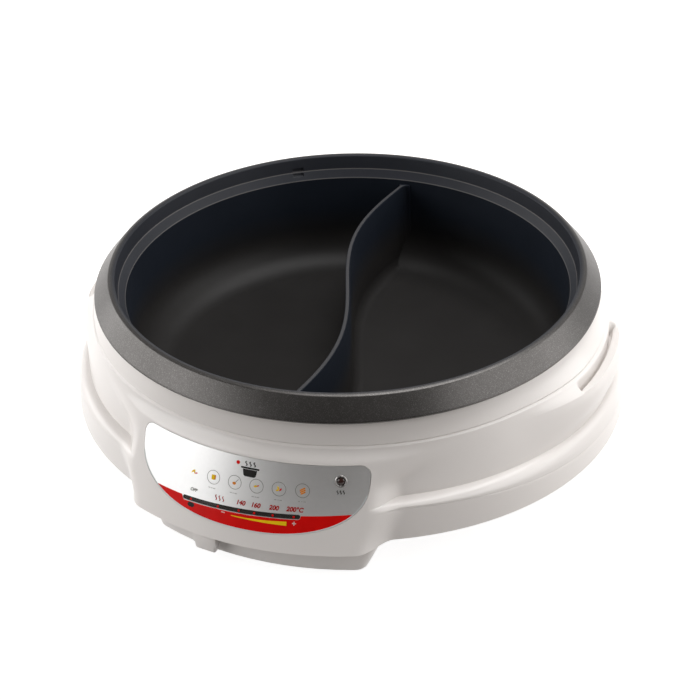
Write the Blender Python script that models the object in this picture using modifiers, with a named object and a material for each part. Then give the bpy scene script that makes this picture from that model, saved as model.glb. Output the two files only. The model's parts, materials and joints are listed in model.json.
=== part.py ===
"""Electric hot pot.

A divided cast pan hangs in a white moulded base. The base holds a tubular heater,
a sprung sensor and a thermostat, which a slide under the front console turns.
Metres, +Z up. The console faces -Y, and the pan's axis is vertical.
"""
import math

import bmesh
import bpy
from mathutils import Matrix, Vector

MM = 0.001

# General fits
gap = 0.3 * MM              # between touching pieces
overrun = 2.0 * MM          # how far a cutter runs past what it cuts
weld_distance = 0.01 * MM
smooth_angle = math.radians(35)

# Pan: the rim's radius, and drops below the inner edge of its crest
pan_depth = 82.0 * MM
pan_wall = 3.0 * MM
rim_radius = 175.0 * MM
rim_width = 15.0 * MM
rim_drop = 12.6 * MM
crest_width = 4.7 * MM
crest_rise = 1.8 * MM
ledge_step = 1.5 * MM
ledge_width = 4.7 * MM
ledge_outer_drop = 9.0 * MM
ledge_inner_drop = 14.6 * MM
pan_draft = 1.5 * MM
pan_corner_radius = 18.0 * MM
pan_steps = 66

# Dividing wall of the pan, an S curve through the axis
divider_drop = 18.0 * MM
divider_top_half = 1.4 * MM
divider_draft = 1.0 * MM
divider_foot_fillet = 8.0 * MM
divider_end_fillet = 4.0 * MM
divider_sway = 14.5 * MM
divider_yaw = math.radians(5)
divider_steps = 22

# Lid notches in the ledge
notch_width = 5.5 * MM
notch_length = 4.2 * MM
notch_depth = 1.2 * MM
notch_azimuths = [math.radians(a) for a in (-145, -25, 95)]

# Body shell: steps out from the rim, heights stacked from the table
shell_wall = 2.6 * MM
collar_lip_inset = 11.5 * MM
collar_drop = 30.0 * MM
collar_taper = 0.4 * MM
crease_inset = 1.0 * MM
band_flare = 6.6 * MM
shoulder_step = 8.4 * MM
skirt_flare = 0.8 * MM
skirt_foot_height = 20.0 * MM
skirt_height = 23.3 * MM
shoulder_height = 3.7 * MM
oval_share = 0.0235

# Console, a cone face that swells out of the front
console_swell = 11.4 * MM
console_brow_step = 4.2 * MM
console_brow_drop = 5.0 * MM
console_blend_height = 9.0 * MM
console_half_angle = math.radians(25.4)
console_spread = math.radians(14.5)
console_flank = math.radians(4.8)

# Hand slots at the sides
grip_swell = 7.2 * MM
grip_drop = 3.0 * MM
grip_azimuth = math.radians(89)
grip_half_angle = math.radians(13.4)
grip_flat = math.radians(13)
grip_fade = math.radians(9)
grip_slot_step = 3.0 * MM
grip_slot_width = 6.6 * MM
grip_slot_corner = 2.4 * MM
grip_depth = 16.0 * MM
grip_wall = 2.4 * MM

# Printed panel, dial window and lamp on the console
fascia_share = 0.892        # of the console's half width
fascia_top_drop = 40.2 * MM
fascia_offset = 1.6 * MM
fascia_side_drop = 52.0 * MM
fascia_height = 43.8 * MM
fascia_corner = 7.0 * MM
fascia_thickness = 0.7 * MM
fascia_bulge = 2.5
window_half_angle = math.radians(12)
window_height = 3.4 * MM
window_drop = 73.0 * MM
lamp_azimuth = math.radians(19.7)
lamp_drop = 49.0 * MM
lamp_radius = 2.5 * MM
lamp_length = 8.0 * MM
lamp_holder_wall = 1.6 * MM
lamp_holder_length = 12.0 * MM

# Tray that closes the base, with a lobe under the console
foot_height = 3.0 * MM
tray_wall = 2.5 * MM
tray_inset = 24.8 * MM
tray_draft = 8.0 * MM
tray_fit = 0.6 * MM
lobe_setback = 9.4 * MM
lobe_offset = 6.0 * MM
lobe_share = 0.834          # of the console's half width
lobe_corner = 9.0 * MM
lobe_draft = 7.5 * MM
lobe_neck_spread = 2.0 * MM
lobe_neck_corner = 24.0 * MM
pillar_radius = 5.0 * MM
pillar_inset = 45.0 * MM

# Reflector bowl
service_height = 11.5 * MM
bowl_wall = 1.0 * MM
bowl_inset = 5.8 * MM
bowl_corner = 12.0 * MM
bowl_fit = 0.5 * MM
bowl_flange = 5.0 * MM
bowl_centre_hole = 3.6 * MM

# Heater ring, its saddles and bushes
heater_radius = 4.0 * MM
heater_inset = 53.0 * MM
heater_lift = 2.7 * MM
heater_gap_angle = math.radians(9)
heater_bend = 8.0 * MM
heater_leg_height = 8.0 * MM
saddle_length = 16.0 * MM
saddle_width = 14.0 * MM
saddle_cover = 1.0 * MM
bush_radius = 7.7 * MM
bush_flange_radius = 10.0 * MM
bush_flange_height = 2.0 * MM
bush_rise = 1.0 * MM
bush_length = 7.0 * MM
bush_clearance = 1.0 * MM

# Sensor, thermostat and spindle on the pan's axis
sensor_radius = 9.0 * MM
sensor_head = 2.4 * MM
sensor_stem_radius = 2.7 * MM
sensor_travel = 2.0 * MM
spring_radius = 6.0 * MM
spring_wire = 0.6 * MM
spring_turns = 3
thermostat_length = 44.0 * MM
thermostat_width = 26.0 * MM
thermostat_height = 7.0 * MM
spindle_radius = 7.0 * MM
spindle_bore = 3.3 * MM
spindle_flange_radius = 9.5 * MM
spindle_flange = 0.6 * MM

# Slide lever, from the spindle to the tab below the console
lever_rest_azimuth = math.radians(-6.5)
arm_thickness = 1.2 * MM
arm_half_width = 6.0 * MM
arm_hub_radius = 12.0 * MM
arm_rise_inset = 11.8 * MM
arm_end_inset = 1.8 * MM
knob_half_width = 8.5 * MM
knob_drop = 8.0 * MM
knob_stem = 2.2 * MM
knob_reach = 7.4 * MM
knob_bridge = 2.4 * MM
knob_setback = 0.9 * MM
knob_edge = 0.8 * MM
knob_clearance = 0.5 * MM
pointer_half_width = 1.2 * MM
pointer_thickness = 1.4 * MM
pointer_foot_step = 1.5 * MM
pointer_clearance = 1.0 * MM

# Power inlet at the rear of the skirt
inlet_half_width = 20.0 * MM
inlet_foot_rise = 3.5 * MM
inlet_height = 16.0 * MM
inlet_depth = 17.0 * MM
inlet_wall = 3.0 * MM
inlet_recess = 13.0 * MM
inlet_pin_radius = 2.0 * MM
inlet_pin_pitch = 9.0 * MM
inlet_pin_reach = 10.0 * MM
inlet_pin_tail = 3.0 * MM

# Small parts in the tray
foot_radius = 9.0 * MM
foot_stem_radius = 3.0 * MM
foot_stem_reach = 1.5 * MM
foot_inset = 27.0 * MM
screw_inset = 7.8 * MM
screw_azimuths = [math.radians(a) for a in (55, 125, -125, -55)]
screw_head_radius = 3.6 * MM
screw_head_height = 2.0 * MM
screw_radius = 1.6 * MM
screw_length = 14.0 * MM
boss_radius = 5.0 * MM
block_length = 36.0 * MM
block_width = 14.0 * MM
block_height = 8.0 * MM
block_inset = 35.0 * MM
fuse_radius = 2.6 * MM
fuse_length = 20.0 * MM
fuse_place = 34.0 * MM

# Radii that follow, from the rim inwards and outwards
crest_inner_radius = rim_radius - rim_width
ledge_outer_radius = crest_inner_radius - ledge_step
ledge_inner_radius = ledge_outer_radius - ledge_width
collar_lip_radius = rim_radius - collar_lip_inset
crease_radius = rim_radius - crease_inset
collar_radius = crease_radius - collar_taper
valley_radius = crease_radius + band_flare
shoulder_radius = valley_radius + shoulder_step
skirt_foot_radius = shoulder_radius + skirt_flare
console_foot_radius = skirt_foot_radius + console_swell
console_brow_radius = crease_radius + console_brow_step
console_half_width = console_foot_radius * math.sin(console_half_angle)
fascia_half_width = console_half_width * fascia_share
grip_slot_radius = crease_radius + grip_slot_step
tray_top_radius = skirt_foot_radius - tray_inset
tray_foot_radius = tray_top_radius - tray_draft
lobe_radius = console_foot_radius - lobe_setback
lobe_half_width = console_half_width * lobe_share
lobe_neck_half_width = lobe_half_width + lobe_neck_spread
bowl_floor_radius = ledge_inner_radius - bowl_inset
bowl_top_radius = collar_lip_radius - bowl_fit
heater_circle = bowl_floor_radius - heater_inset
arm_rise_radius = lobe_radius - arm_rise_inset
arm_end_radius = lobe_radius - arm_end_inset
knob_inner_radius = lobe_radius - knob_reach
pointer_foot_radius = arm_rise_radius + pointer_foot_step
pillar_circle = tray_foot_radius - pillar_inset
foot_circle = tray_foot_radius - foot_inset
block_circle = tray_foot_radius - block_inset
screw_circle = skirt_foot_radius - screw_inset

# Heights that follow, from the table up
tray_floor = foot_height + tray_wall
bowl_floor = tray_floor + service_height
heater_height = bowl_floor + bowl_wall + heater_lift + heater_radius
pan_bottom = heater_height + heater_radius + gap
pan_floor = pan_bottom + pan_wall
crest_height = pan_floor + pan_depth
rim_edge_height = crest_height - rim_drop
crease_height = crest_height - collar_drop
shoulder_edge_height = skirt_foot_height + skirt_height
valley_height = shoulder_edge_height + shoulder_height
collar_top_height = rim_edge_height + crest_rise / 2
brow_height = crease_height - console_brow_drop
window_height_mid = crest_height - window_drop
tray_flange_top = skirt_foot_height + tray_wall
arm_height = bowl_floor - tray_wall - gap

# The pan's axis stands off the origin, so that the origin is under the middle of the whole
skirt_rear = skirt_foot_radius * (1.0 - oval_share)
axis_y = (console_foot_radius - skirt_rear) / 2


def collection(name):
    made = bpy.data.collections.new(name)
    bpy.context.scene.collection.children.link(made)
    return made


def clear_scene():
    for obj in list(bpy.data.objects):
        bpy.data.objects.remove(obj, do_unlink=True)
    for old in list(bpy.data.collections):
        bpy.data.collections.remove(old)


def material(name, colour, roughness, metallic=0.0, alpha=1.0):
    made = bpy.data.materials.new(name)
    made.use_nodes = True
    shader = made.node_tree.nodes["Principled BSDF"]
    shader.inputs["Base Color"].default_value = (*colour, 1.0)
    shader.inputs["Roughness"].default_value = roughness
    shader.inputs["Metallic"].default_value = metallic
    shader.inputs["Alpha"].default_value = alpha
    return made


def smoothstep(low, high, value):
    share = min(1.0, max(0.0, (value - low) / (high - low)))
    return share * share * (3.0 - 2.0 * share)


def polar(radius, azimuth, height=0.0):
    """A point at an azimuth measured from the front (-Y) towards +X."""
    return Vector((radius * math.sin(azimuth), -radius * math.cos(azimuth), height))


def shade(obj):
    obj.data.shade_smooth()
    obj.data.set_sharp_from_angle(angle=smooth_angle)


def place(obj, parent):
    obj.parent = parent
    return obj


def new_object(name, mesh, group):
    obj = bpy.data.objects.new(name, mesh)
    group.objects.link(obj)
    return obj


def turned(name, profile, group, steps, closed=False):
    """Turn a profile of (radius, height) points about Z. Its outer side runs top to bottom."""
    mesh = bpy.data.meshes.new(name)
    count = len(profile)
    edges = [(i, (i + 1) % count) for i in range(count if closed else count - 1)]
    mesh.from_pydata([(r, 0.0, z) for r, z in profile], edges, [])
    obj = new_object(name, mesh, group)
    screw = obj.modifiers.new("turn", "SCREW")
    screw.angle = math.tau
    screw.steps = steps
    screw.render_steps = steps
    screw.use_merge_vertices = True
    screw.merge_threshold = weld_distance
    screw.use_smooth_shade = True
    return obj


def baked(obj):
    """Replace an object's data with its evaluated mesh."""
    bpy.context.view_layer.update()
    graph = bpy.context.evaluated_depsgraph_get()
    mesh = bpy.data.meshes.new_from_object(obj.evaluated_get(graph))
    old_name = obj.name
    group = obj.users_collection[0]
    made = bpy.data.objects.new(old_name + "_mesh", mesh)
    group.objects.link(made)
    made.matrix_world = obj.matrix_world.copy()
    bpy.data.objects.remove(obj, do_unlink=True)
    made.name = old_name
    work = bmesh.new()
    work.from_mesh(mesh)
    bmesh.ops.remove_doubles(work, verts=work.verts, dist=weld_distance)
    bmesh.ops.recalc_face_normals(work, faces=work.faces)
    work.to_mesh(mesh)
    work.free()
    return made


def extruded(name, outline, half_depth, group, matrix=None, edge=0.0):
    """Extrude a flat outline both ways along its normal, with an optional rounded edge."""
    curve = bpy.data.curves.new(name, "CURVE")
    curve.dimensions = "2D"
    curve.fill_mode = "BOTH"
    curve.extrude = half_depth - edge
    curve.bevel_depth = edge
    curve.bevel_resolution = 1
    curve.offset = -edge
    spline = curve.splines.new("POLY")
    spline.points.add(len(outline) - 1)
    for point, (x, y) in zip(spline.points, outline):
        point.co = (x, y, 0.0, 1.0)
    spline.use_cyclic_u = True
    obj = bpy.data.objects.new(name, curve)
    group.objects.link(obj)
    if matrix is not None:
        obj.matrix_world = matrix
    return baked(obj)


def cylinder(name, radius, low, high, group, centre=(0.0, 0.0), sides=32):
    mesh = bpy.data.meshes.new(name)
    work = bmesh.new()
    middle = Matrix.Translation((centre[0], centre[1], (low + high) / 2))
    bmesh.ops.create_cone(work, cap_ends=True, segments=sides, radius1=radius, radius2=radius,
                          depth=high - low, matrix=middle)
    work.to_mesh(mesh)
    work.free()
    return new_object(name, mesh, group)


def block(name, low, high, group):
    mesh = bpy.data.meshes.new(name)
    work = bmesh.new()
    size = [b - a for a, b in zip(low, high)]
    middle = [(a + b) / 2 for a, b in zip(low, high)]
    bmesh.ops.create_cube(work, size=1.0, matrix=Matrix.Translation(middle) @ Matrix.Diagonal((*size, 1.0)))
    work.to_mesh(mesh)
    work.free()
    return new_object(name, mesh, group)


def boolean(obj, other, operation):
    change = obj.modifiers.new(operation.lower() + "_" + other.name, "BOOLEAN")
    change.operation = operation
    change.object = other
    other.hide_render = True
    other.display_type = "WIRE"


def rounded_edges(obj, width, segments=2):
    bevel = obj.modifiers.new("round", "BEVEL")
    bevel.width = width
    bevel.segments = segments
    bevel.limit_method = "ANGLE"
    bevel.angle_limit = smooth_angle


def arc_points(centre, radius, start, end, count):
    """Points of an arc from start to end, both included."""
    points = []
    for i in range(count + 1):
        angle = start + (end - start) * i / count
        points.append((centre[0] + radius * math.cos(angle), centre[1] + radius * math.sin(angle)))
    return points


def sector(name, inner, outer, low, high, half_angle, group, steps=12):
    """A block bent round the pan's axis, centred on the front."""
    quarter = math.pi / 2
    outline = arc_points((0.0, 0.0), outer, -quarter - half_angle, -quarter + half_angle, steps)
    outline += arc_points((0.0, 0.0), inner, -quarter + half_angle, -quarter - half_angle, steps)
    middle = Matrix.Translation((0.0, 0.0, (low + high) / 2))
    return extruded(name, outline, (high - low) / 2, group, middle)


def face_radius(height):
    """Radius of the console's cone face at a height."""
    share = (height - skirt_foot_height) / (brow_height - skirt_foot_height)
    return console_foot_radius + (console_brow_radius - console_foot_radius) * share


# Pan

def pan_wall_foot():
    """Radius and height at which the inner wall runs into the corner arc."""
    return ledge_inner_radius - pan_draft, pan_floor + pan_corner_radius


def pan_inner_profile(grow=0.0):
    """The hollow from the floor's middle up to the ledge, grown into the wall."""
    radius, height = pan_wall_foot()
    corner = arc_points((radius - pan_corner_radius, height), pan_corner_radius + grow, -math.pi / 2, 0.0, 5)
    wall_top = (ledge_inner_radius + grow, crest_height - ledge_inner_drop)
    return [(0.0, pan_floor - grow)] + corner + [wall_top]


def make_pan(group, cutters, finish):
    ledge_edge = (ledge_outer_radius, crest_height - ledge_outer_drop)
    crest_outer = crest_inner_radius + crest_width
    inner = pan_inner_profile() + [
        ledge_edge,
        (crest_inner_radius, crest_height),
        (crest_inner_radius + crest_width / 4, crest_height + crest_rise * 0.8),
        (crest_inner_radius + crest_width / 2, crest_height + crest_rise),
        (crest_outer, crest_height + crest_rise * 0.6),
    ]
    rim_thick = pan_wall * 1.1
    outer = [
        (rim_radius - pan_wall / 4, rim_edge_height + pan_wall / 2),
        (rim_radius, rim_edge_height + pan_wall / 4),
        (rim_radius - pan_wall / 4, rim_edge_height),
        (rim_radius - rim_thick, rim_edge_height),
        (crest_inner_radius + pan_wall, crest_height - pan_wall),
        (ledge_outer_radius + pan_wall, crest_height - ledge_outer_drop - pan_wall / 2),
        (ledge_inner_radius + pan_wall, crest_height - ledge_inner_drop - pan_wall / 2),
    ]
    radius, height = pan_wall_foot()
    corner = arc_points((radius - pan_corner_radius, height), pan_corner_radius + pan_wall, 0.0, -math.pi / 2, 3)
    outer += corner + [(0.0, pan_bottom)]
    pan = turned("pot", inner + outer, group, pan_steps)
    divider = make_divider(cutters)
    boolean(pan, divider, "UNION")
    for i, azimuth in enumerate(notch_azimuths):
        boolean(pan, make_notch(i, azimuth, cutters), "DIFFERENCE")
    pan.data.materials.append(finish)
    return pan


def divider_half(along_share, height):
    """Half thickness of the dividing wall, with its draft and its two fillets."""
    top = crest_height - divider_drop
    half = divider_top_half + divider_draft * (top - height) / (top - pan_floor)
    foot = max(0.0, 1.0 - max(0.0, height - pan_floor) / divider_foot_fillet)
    half += divider_foot_fillet * (1.0 - math.sqrt(1.0 - foot * foot))
    end = max(0.0, 1.0 - (1.0 - abs(along_share)) * ledge_inner_radius / divider_end_fillet)
    end = min(1.0, end)
    return half + divider_end_fillet * (1.0 - math.sqrt(1.0 - end * end))


def divider_centre(along_share):
    """Centre line: straight chord through the axis plus one full sine of sway."""
    along = along_share * ledge_inner_radius
    sway = -divider_sway * math.sin(math.pi * along_share)
    chord = Vector((-math.sin(divider_yaw), math.cos(divider_yaw)))
    side = Vector((math.cos(divider_yaw), math.sin(divider_yaw)))
    return chord * along + side * sway


def make_divider(cutters):
    """Loft the wall's section along its S curve, then trim it inside the pan's wall."""
    top = crest_height - divider_drop
    fillet_shares = (0.0, 0.18, 0.5, 1.0)
    heights = [pan_floor - pan_wall / 2] + [pan_floor + divider_foot_fillet * s for s in fillet_shares] + [top]
    reach = 1.0 + pan_wall / ledge_inner_radius
    end_shares = [1.0 - divider_end_fillet * s / ledge_inner_radius for s in (0.0, 0.25, 0.6, 1.0)]
    inner_shares = [end_shares[-1] * (1.0 - 2.0 * i / divider_steps) for i in range(1, divider_steps)]
    shares = [reach] + end_shares + inner_shares + [-s for s in reversed(end_shares)] + [-reach]
    work = bmesh.new()
    loops = []
    for share in shares:
        here = divider_centre(share)
        ahead = divider_centre(share + 1.0 / divider_steps) - divider_centre(share - 1.0 / divider_steps)
        normal = Vector((ahead.y, -ahead.x)).normalized()
        loop = [work.verts.new((*(here + normal * divider_half(share, z)), z)) for z in heights]
        loop += [work.verts.new((*(here - normal * divider_half(share, z)), z)) for z in reversed(heights)]
        loops.append(loop)
    count = len(loops[0])
    for near, far in zip(loops, loops[1:]):
        for i in range(count):
            j = (i + 1) % count
            work.faces.new((near[i], near[j], far[j], far[i]))
    work.faces.new(loops[0])
    work.faces.new(list(reversed(loops[-1])))
    bmesh.ops.recalc_face_normals(work, faces=work.faces)
    mesh = bpy.data.meshes.new("divider")
    work.to_mesh(mesh)
    work.free()
    divider = new_object("divider", mesh, cutters)
    hollow = pan_inner_profile(pan_wall / 2)
    top_radius = hollow[-1][0]
    trim = turned("divider_trim", [(0.0, crest_height), (top_radius, crest_height)] + list(reversed(hollow)),
                  cutters, pan_steps)
    boolean(divider, trim, "INTERSECT")
    return divider


def make_notch(index, azimuth, cutters):
    """A small rounded pocket across the ledge, square to its slope."""
    rise = ledge_inner_drop - ledge_outer_drop
    run = ledge_outer_radius - ledge_inner_radius
    slope = math.atan2(rise, run)
    middle_radius = (ledge_outer_radius + ledge_inner_radius) / 2
    middle_height = crest_height - (ledge_outer_drop + ledge_inner_drop) / 2
    low = (-notch_width / 2, -notch_length / 2, -notch_depth)
    high = (notch_width / 2, notch_length / 2, overrun)
    cutter = block("notch_%d" % index, low, high, cutters)
    turn = Matrix.Rotation(azimuth, 4, "Z")
    tilt = Matrix.Rotation(-slope, 4, "X")
    cutter.matrix_world = turn @ Matrix.Translation((0.0, -middle_radius, middle_height)) @ tilt
    rounded_edges(cutter, notch_length / 6, 1)
    return cutter


# Body shell

def shell_rings():
    """Rings of the shell from its inner lip to its foot: radius, height, grip swell share, grip drop share."""
    band = crease_height - valley_height
    band_out = valley_radius - crease_radius
    step = shoulder_radius - valley_radius
    collar_tall = collar_top_height - crease_height
    return [
        (collar_lip_radius, collar_top_height, 0.0, 0.0),
        (rim_radius - pan_wall * 1.6, collar_top_height, 0.0, 0.0),
        (collar_radius, crease_height + collar_tall * 0.42, 0.0, 0.0),
        (crease_radius, crease_height, 0.0, 0.3),
        (crease_radius + band_out * 0.16, crease_height - band * 0.095, 0.04, 1.0),
        (crease_radius + band_out * 0.30, crease_height - band * 0.19, 1.0, 1.0),
        (crease_radius + band_out * 0.50, crease_height - band * 0.38, 0.98, 0.0),
        (crease_radius + band_out * 0.78, crease_height - band * 0.66, 0.74, 0.0),
        (crease_radius + band_out * 0.96, crease_height - band * 0.88, 0.36, 0.0),
        (valley_radius, valley_height, 0.2, 0.0),
        (valley_radius + step * 0.50, valley_height - shoulder_height * 0.12, 0.05, 0.0),
        (valley_radius + step * 0.86, valley_height - shoulder_height * 0.45, 0.0, 0.0),
        (shoulder_radius, shoulder_edge_height, 0.0, 0.0),
        (skirt_foot_radius, skirt_foot_height, 0.0, 0.0),
        (skirt_foot_radius, skirt_foot_height - shell_wall, 0.0, 0.0),
    ]


def shell_azimuths():
    """Meridians, close together where the console's flanks and the grips turn."""
    flank_start = console_half_angle - console_flank
    flank_end = console_half_angle + console_spread + console_flank
    grip_start = grip_azimuth - grip_flat
    grip_end = grip_azimuth + grip_flat
    spans = [
        (0.0, flank_start, 4),
        (flank_start, flank_end, 10),
        (flank_end, grip_start - grip_fade, 4),
        (grip_start - grip_fade, grip_start, 4),
        (grip_start, grip_end, 4),
        (grip_end, grip_end + grip_fade, 4),
        (grip_end + grip_fade, math.pi, 12),
    ]
    half = [0.0]
    for low, high, count in spans:
        half += [low + (high - low) * (i + 1) / count for i in range(count)]
    return half + [-azimuth for azimuth in reversed(half[1:-1])]


def console_share(azimuth, height):
    """1 on the console's face, falling to 0 across its flank and its brow."""
    rise = (height - skirt_foot_height) / (brow_height - skirt_foot_height)
    edge = console_half_angle + console_spread * rise * rise
    flank = 1.0 - smoothstep(edge - console_flank, edge + console_flank, abs(azimuth))
    brow = 1.0 - smoothstep(crease_height - console_blend_height, crease_height, height)
    return flank * brow


def grip_share(azimuth):
    away = abs(abs(azimuth) - grip_azimuth)
    return 1.0 - smoothstep(grip_flat, grip_flat + grip_fade, away)


def oval(azimuth, height):
    """Below the collar the body is wider across the grips than from front to rear."""
    below = 2.0 * (collar_top_height - height) / (collar_top_height - skirt_foot_height)
    return 1.0 - oval_share * min(1.0, max(0.0, below)) * math.cos(2.0 * azimuth)


def shell_point(ring, azimuth):
    radius, height, swell, drop = ring
    grip = grip_share(azimuth)
    share = console_share(azimuth, height)
    radius = radius * oval(azimuth, height) + grip_swell * swell * grip
    radius += (face_radius(height) - radius) * share
    return polar(radius, azimuth, height - grip_drop * drop * grip)


def make_shell(group, cutters, finish):
    rings = shell_rings()
    azimuths = shell_azimuths()
    shell = baked(turned("body_shell", [(r, z) for r, z, _, _ in rings], group, len(azimuths)))
    step = math.tau / len(azimuths)
    for vertex in shell.data.vertices:
        x, y, z = vertex.co
        radius = math.hypot(x, y)
        ring = min(rings, key=lambda item: abs(item[0] - radius) + abs(item[1] - z))
        index = round(math.atan2(y, x) / step) % len(azimuths)
        vertex.co = shell_point(ring, azimuths[index])
    thick = shell.modifiers.new("wall", "SOLIDIFY")
    thick.thickness = shell_wall
    thick.offset = -1.0
    thick.use_even_offset = True
    trim = cylinder("foot_trim", console_foot_radius * 1.1, 0.0, skirt_foot_height, cutters, sides=48)
    boolean(shell, trim, "DIFFERENCE")
    add_grip_pockets(shell, cutters)
    add_bosses(shell, cutters)
    cut_console(shell, cutters)
    low, high = inlet_box(gap)
    boolean(shell, block("inlet_cut", low, (high[0], high[1] + inlet_depth, high[2]), cutters), "DIFFERENCE")
    shell.data.materials.append(finish)
    return shell


def slope_top(obj, inner_rise):
    """Raise the inner edge of a bent block's top."""
    middle = sum(math.hypot(*vertex.co.xy) for vertex in obj.data.vertices) / len(obj.data.vertices)
    for vertex in obj.data.vertices:
        if vertex.co.z > 0.0 and math.hypot(*vertex.co.xy) < middle:
            vertex.co.z += inner_rise


def add_grip_pockets(shell, cutters):
    band = crease_height - valley_height
    ledge = crease_height - band * 0.19 - grip_drop
    outer = grip_slot_radius + grip_slot_width
    wall_angle = grip_wall / grip_slot_radius
    for name, side in (("left", -1), ("right", 1)):
        turn = Matrix.Rotation(side * grip_azimuth, 4, "Z")
        pocket = sector("pocket_" + name, grip_slot_radius - grip_wall, outer + grip_wall * 1.25,
                        ledge - grip_depth - grip_wall, ledge - shell_wall,
                        grip_half_angle + wall_angle, cutters)
        slope_top(pocket, band * 0.095 + shell_wall * 0.66)
        pocket.matrix_world = turn @ pocket.matrix_world
        boolean(shell, pocket, "UNION")
        slot = sector("slot_" + name, grip_slot_radius, outer, ledge - grip_depth,
                      crease_height + overrun, grip_half_angle, cutters)
        slot.matrix_world = turn @ slot.matrix_world
        rounded_edges(slot, grip_slot_corner)
        boolean(shell, slot, "DIFFERENCE")


def add_bosses(shell, cutters):
    low = tray_flange_top + gap
    high = valley_height
    for i, azimuth in enumerate(screw_azimuths):
        x, y, _ = polar(screw_circle, azimuth)
        boolean(shell, cylinder("boss_%d" % i, boss_radius, low, high - shell_wall / 2, cutters, (x, y), 16), "UNION")
        pilot = cylinder("pilot_%d" % i, screw_radius + gap, low - overrun, low + screw_length, cutters, (x, y), 12)
        boolean(shell, pilot, "DIFFERENCE")


# Console front: panel, window and lamp

def face_ring(name, inner, outer, cutters):
    """A closed ring that follows the cone face, between two offsets from it."""
    low = skirt_foot_height
    high = brow_height + console_brow_drop
    profile = [
        (face_radius(high) + inner, high),
        (face_radius(high) + outer, high),
        (face_radius(low) + outer, low),
        (face_radius(low) + inner, low),
    ]
    return turned(name, profile, cutters, 120, closed=True)


def front_prism(name, outline, cutters, inner_radius=0.0):
    """Extrude an outline of (x, height) points along Y, through the console only."""
    half = (console_foot_radius + overrun - inner_radius) / 2
    upright = Matrix.Translation((0.0, -(inner_radius + half), 0.0)) @ Matrix.Rotation(math.pi / 2, 4, "X")
    return extruded(name, outline, half, cutters, upright)


def fascia_outline(grow=0.0):
    """Flat top with round corners, and sides that close in one bulging curve."""
    half = fascia_half_width + grow
    top = crest_height - fascia_top_drop + grow
    side = crest_height - fascia_side_drop
    reach = fascia_height - (fascia_side_drop - fascia_top_drop) + grow
    corner = fascia_corner + grow
    quarter = arc_points((half - corner, top - corner), corner, math.pi / 2, 0.0, 5)
    lower = []
    count = 12
    for i in range(count + 1):
        angle = -math.pi / 2 * i / count
        x = half * math.cos(angle) ** (2.0 / fascia_bulge)
        z = side - reach * abs(math.sin(angle)) ** (2.0 / fascia_bulge)
        lower.append((x, z))
    right = quarter + lower
    left = [(-x, z) for x, z in reversed(right[:-1])]
    return [(x + fascia_offset, z) for x, z in right + left]


def window_outline(grow=0.0):
    half_height = window_height / 2 + grow
    half_length = face_radius(window_height_mid) * math.sin(window_half_angle) + grow
    middle = half_length - half_height
    right = arc_points((middle, window_height_mid), half_height, math.pi / 2, -math.pi / 2, 6)
    left = arc_points((-middle, window_height_mid), half_height, -math.pi / 2, -3 * math.pi / 2, 6)
    return right + left


def lamp_matrix():
    """At the lamp's place on the face, with +Z along the face's outward normal."""
    height = crest_height - lamp_drop
    lean = math.atan2(console_foot_radius - console_brow_radius, brow_height - skirt_foot_height)
    place_at = Matrix.Translation(polar(face_radius(height), lamp_azimuth, height))
    turn = Matrix.Rotation(lamp_azimuth, 4, "Z")
    return place_at @ turn @ Matrix.Rotation(math.pi / 2 - lean, 4, "X")


def cut_console(shell, cutters):
    seat = face_ring("panel_seat", -fascia_thickness - gap, console_foot_radius - face_radius(brow_height), cutters)
    boolean(seat, front_prism("panel_outline_cut", fascia_outline(gap), cutters), "INTERSECT")
    boolean(shell, seat, "DIFFERENCE")
    slot = face_ring("window_seat", -shell_wall * 2, overrun, cutters)
    boolean(slot, front_prism("window_outline_cut", window_outline(), cutters), "INTERSECT")
    boolean(shell, slot, "DIFFERENCE")
    hole = cylinder("lamp_hole", lamp_radius + gap, -shell_wall * 2, overrun, cutters, sides=20)
    hole.matrix_world = lamp_matrix()
    boolean(shell, hole, "DIFFERENCE")


def make_fascia(group, cutters, finish):
    panel = face_ring("fascia_panel", -fascia_thickness, 0.0, group)
    boolean(panel, front_prism("panel_outline", fascia_outline(), cutters), "INTERSECT")
    slot = face_ring("panel_slot", -shell_wall, overrun, cutters)
    boolean(slot, front_prism("panel_slot_outline", window_outline(), cutters), "INTERSECT")
    boolean(panel, slot, "DIFFERENCE")
    hole = cylinder("panel_lamp_hole", lamp_radius + gap, -shell_wall, overrun, cutters, sides=20)
    hole.matrix_world = lamp_matrix()
    boolean(panel, hole, "DIFFERENCE")
    panel.data.materials.append(finish)
    return panel


def make_window(group, cutters, finish):
    window = face_ring("dial_window", -shell_wall, -gap, group)
    boolean(window, front_prism("window_outline", window_outline(-gap), cutters), "INTERSECT")
    window.data.materials.append(finish)
    return window


def make_lamp(group, cutters, lens_finish, holder_finish):
    dome = lamp_radius * 0.4
    profile = [(0.0, dome)]
    profile += [(lamp_radius * 0.6, dome * 0.8), (lamp_radius, 0.0), (lamp_radius, -lamp_length), (0.0, -lamp_length)]
    lens = turned("pilot_lamp", profile, group, 20)
    lens.matrix_world = lamp_matrix()
    lens.data.materials.append(lens_finish)
    bore = lamp_radius + gap
    outer = bore + lamp_holder_wall
    start = -shell_wall * 1.15 - gap
    holder = cylinder("lamp_holder", outer, start - lamp_holder_length, start, group, sides=20)
    holder.matrix_world = lamp_matrix()
    cut = cylinder("lamp_holder_bore", bore, -lamp_length - gap, overrun, cutters, sides=20)
    cut.matrix_world = lamp_matrix()
    boolean(holder, cut, "DIFFERENCE")
    holder.data.materials.append(holder_finish)
    return [lens, holder]


# Tray

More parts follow.
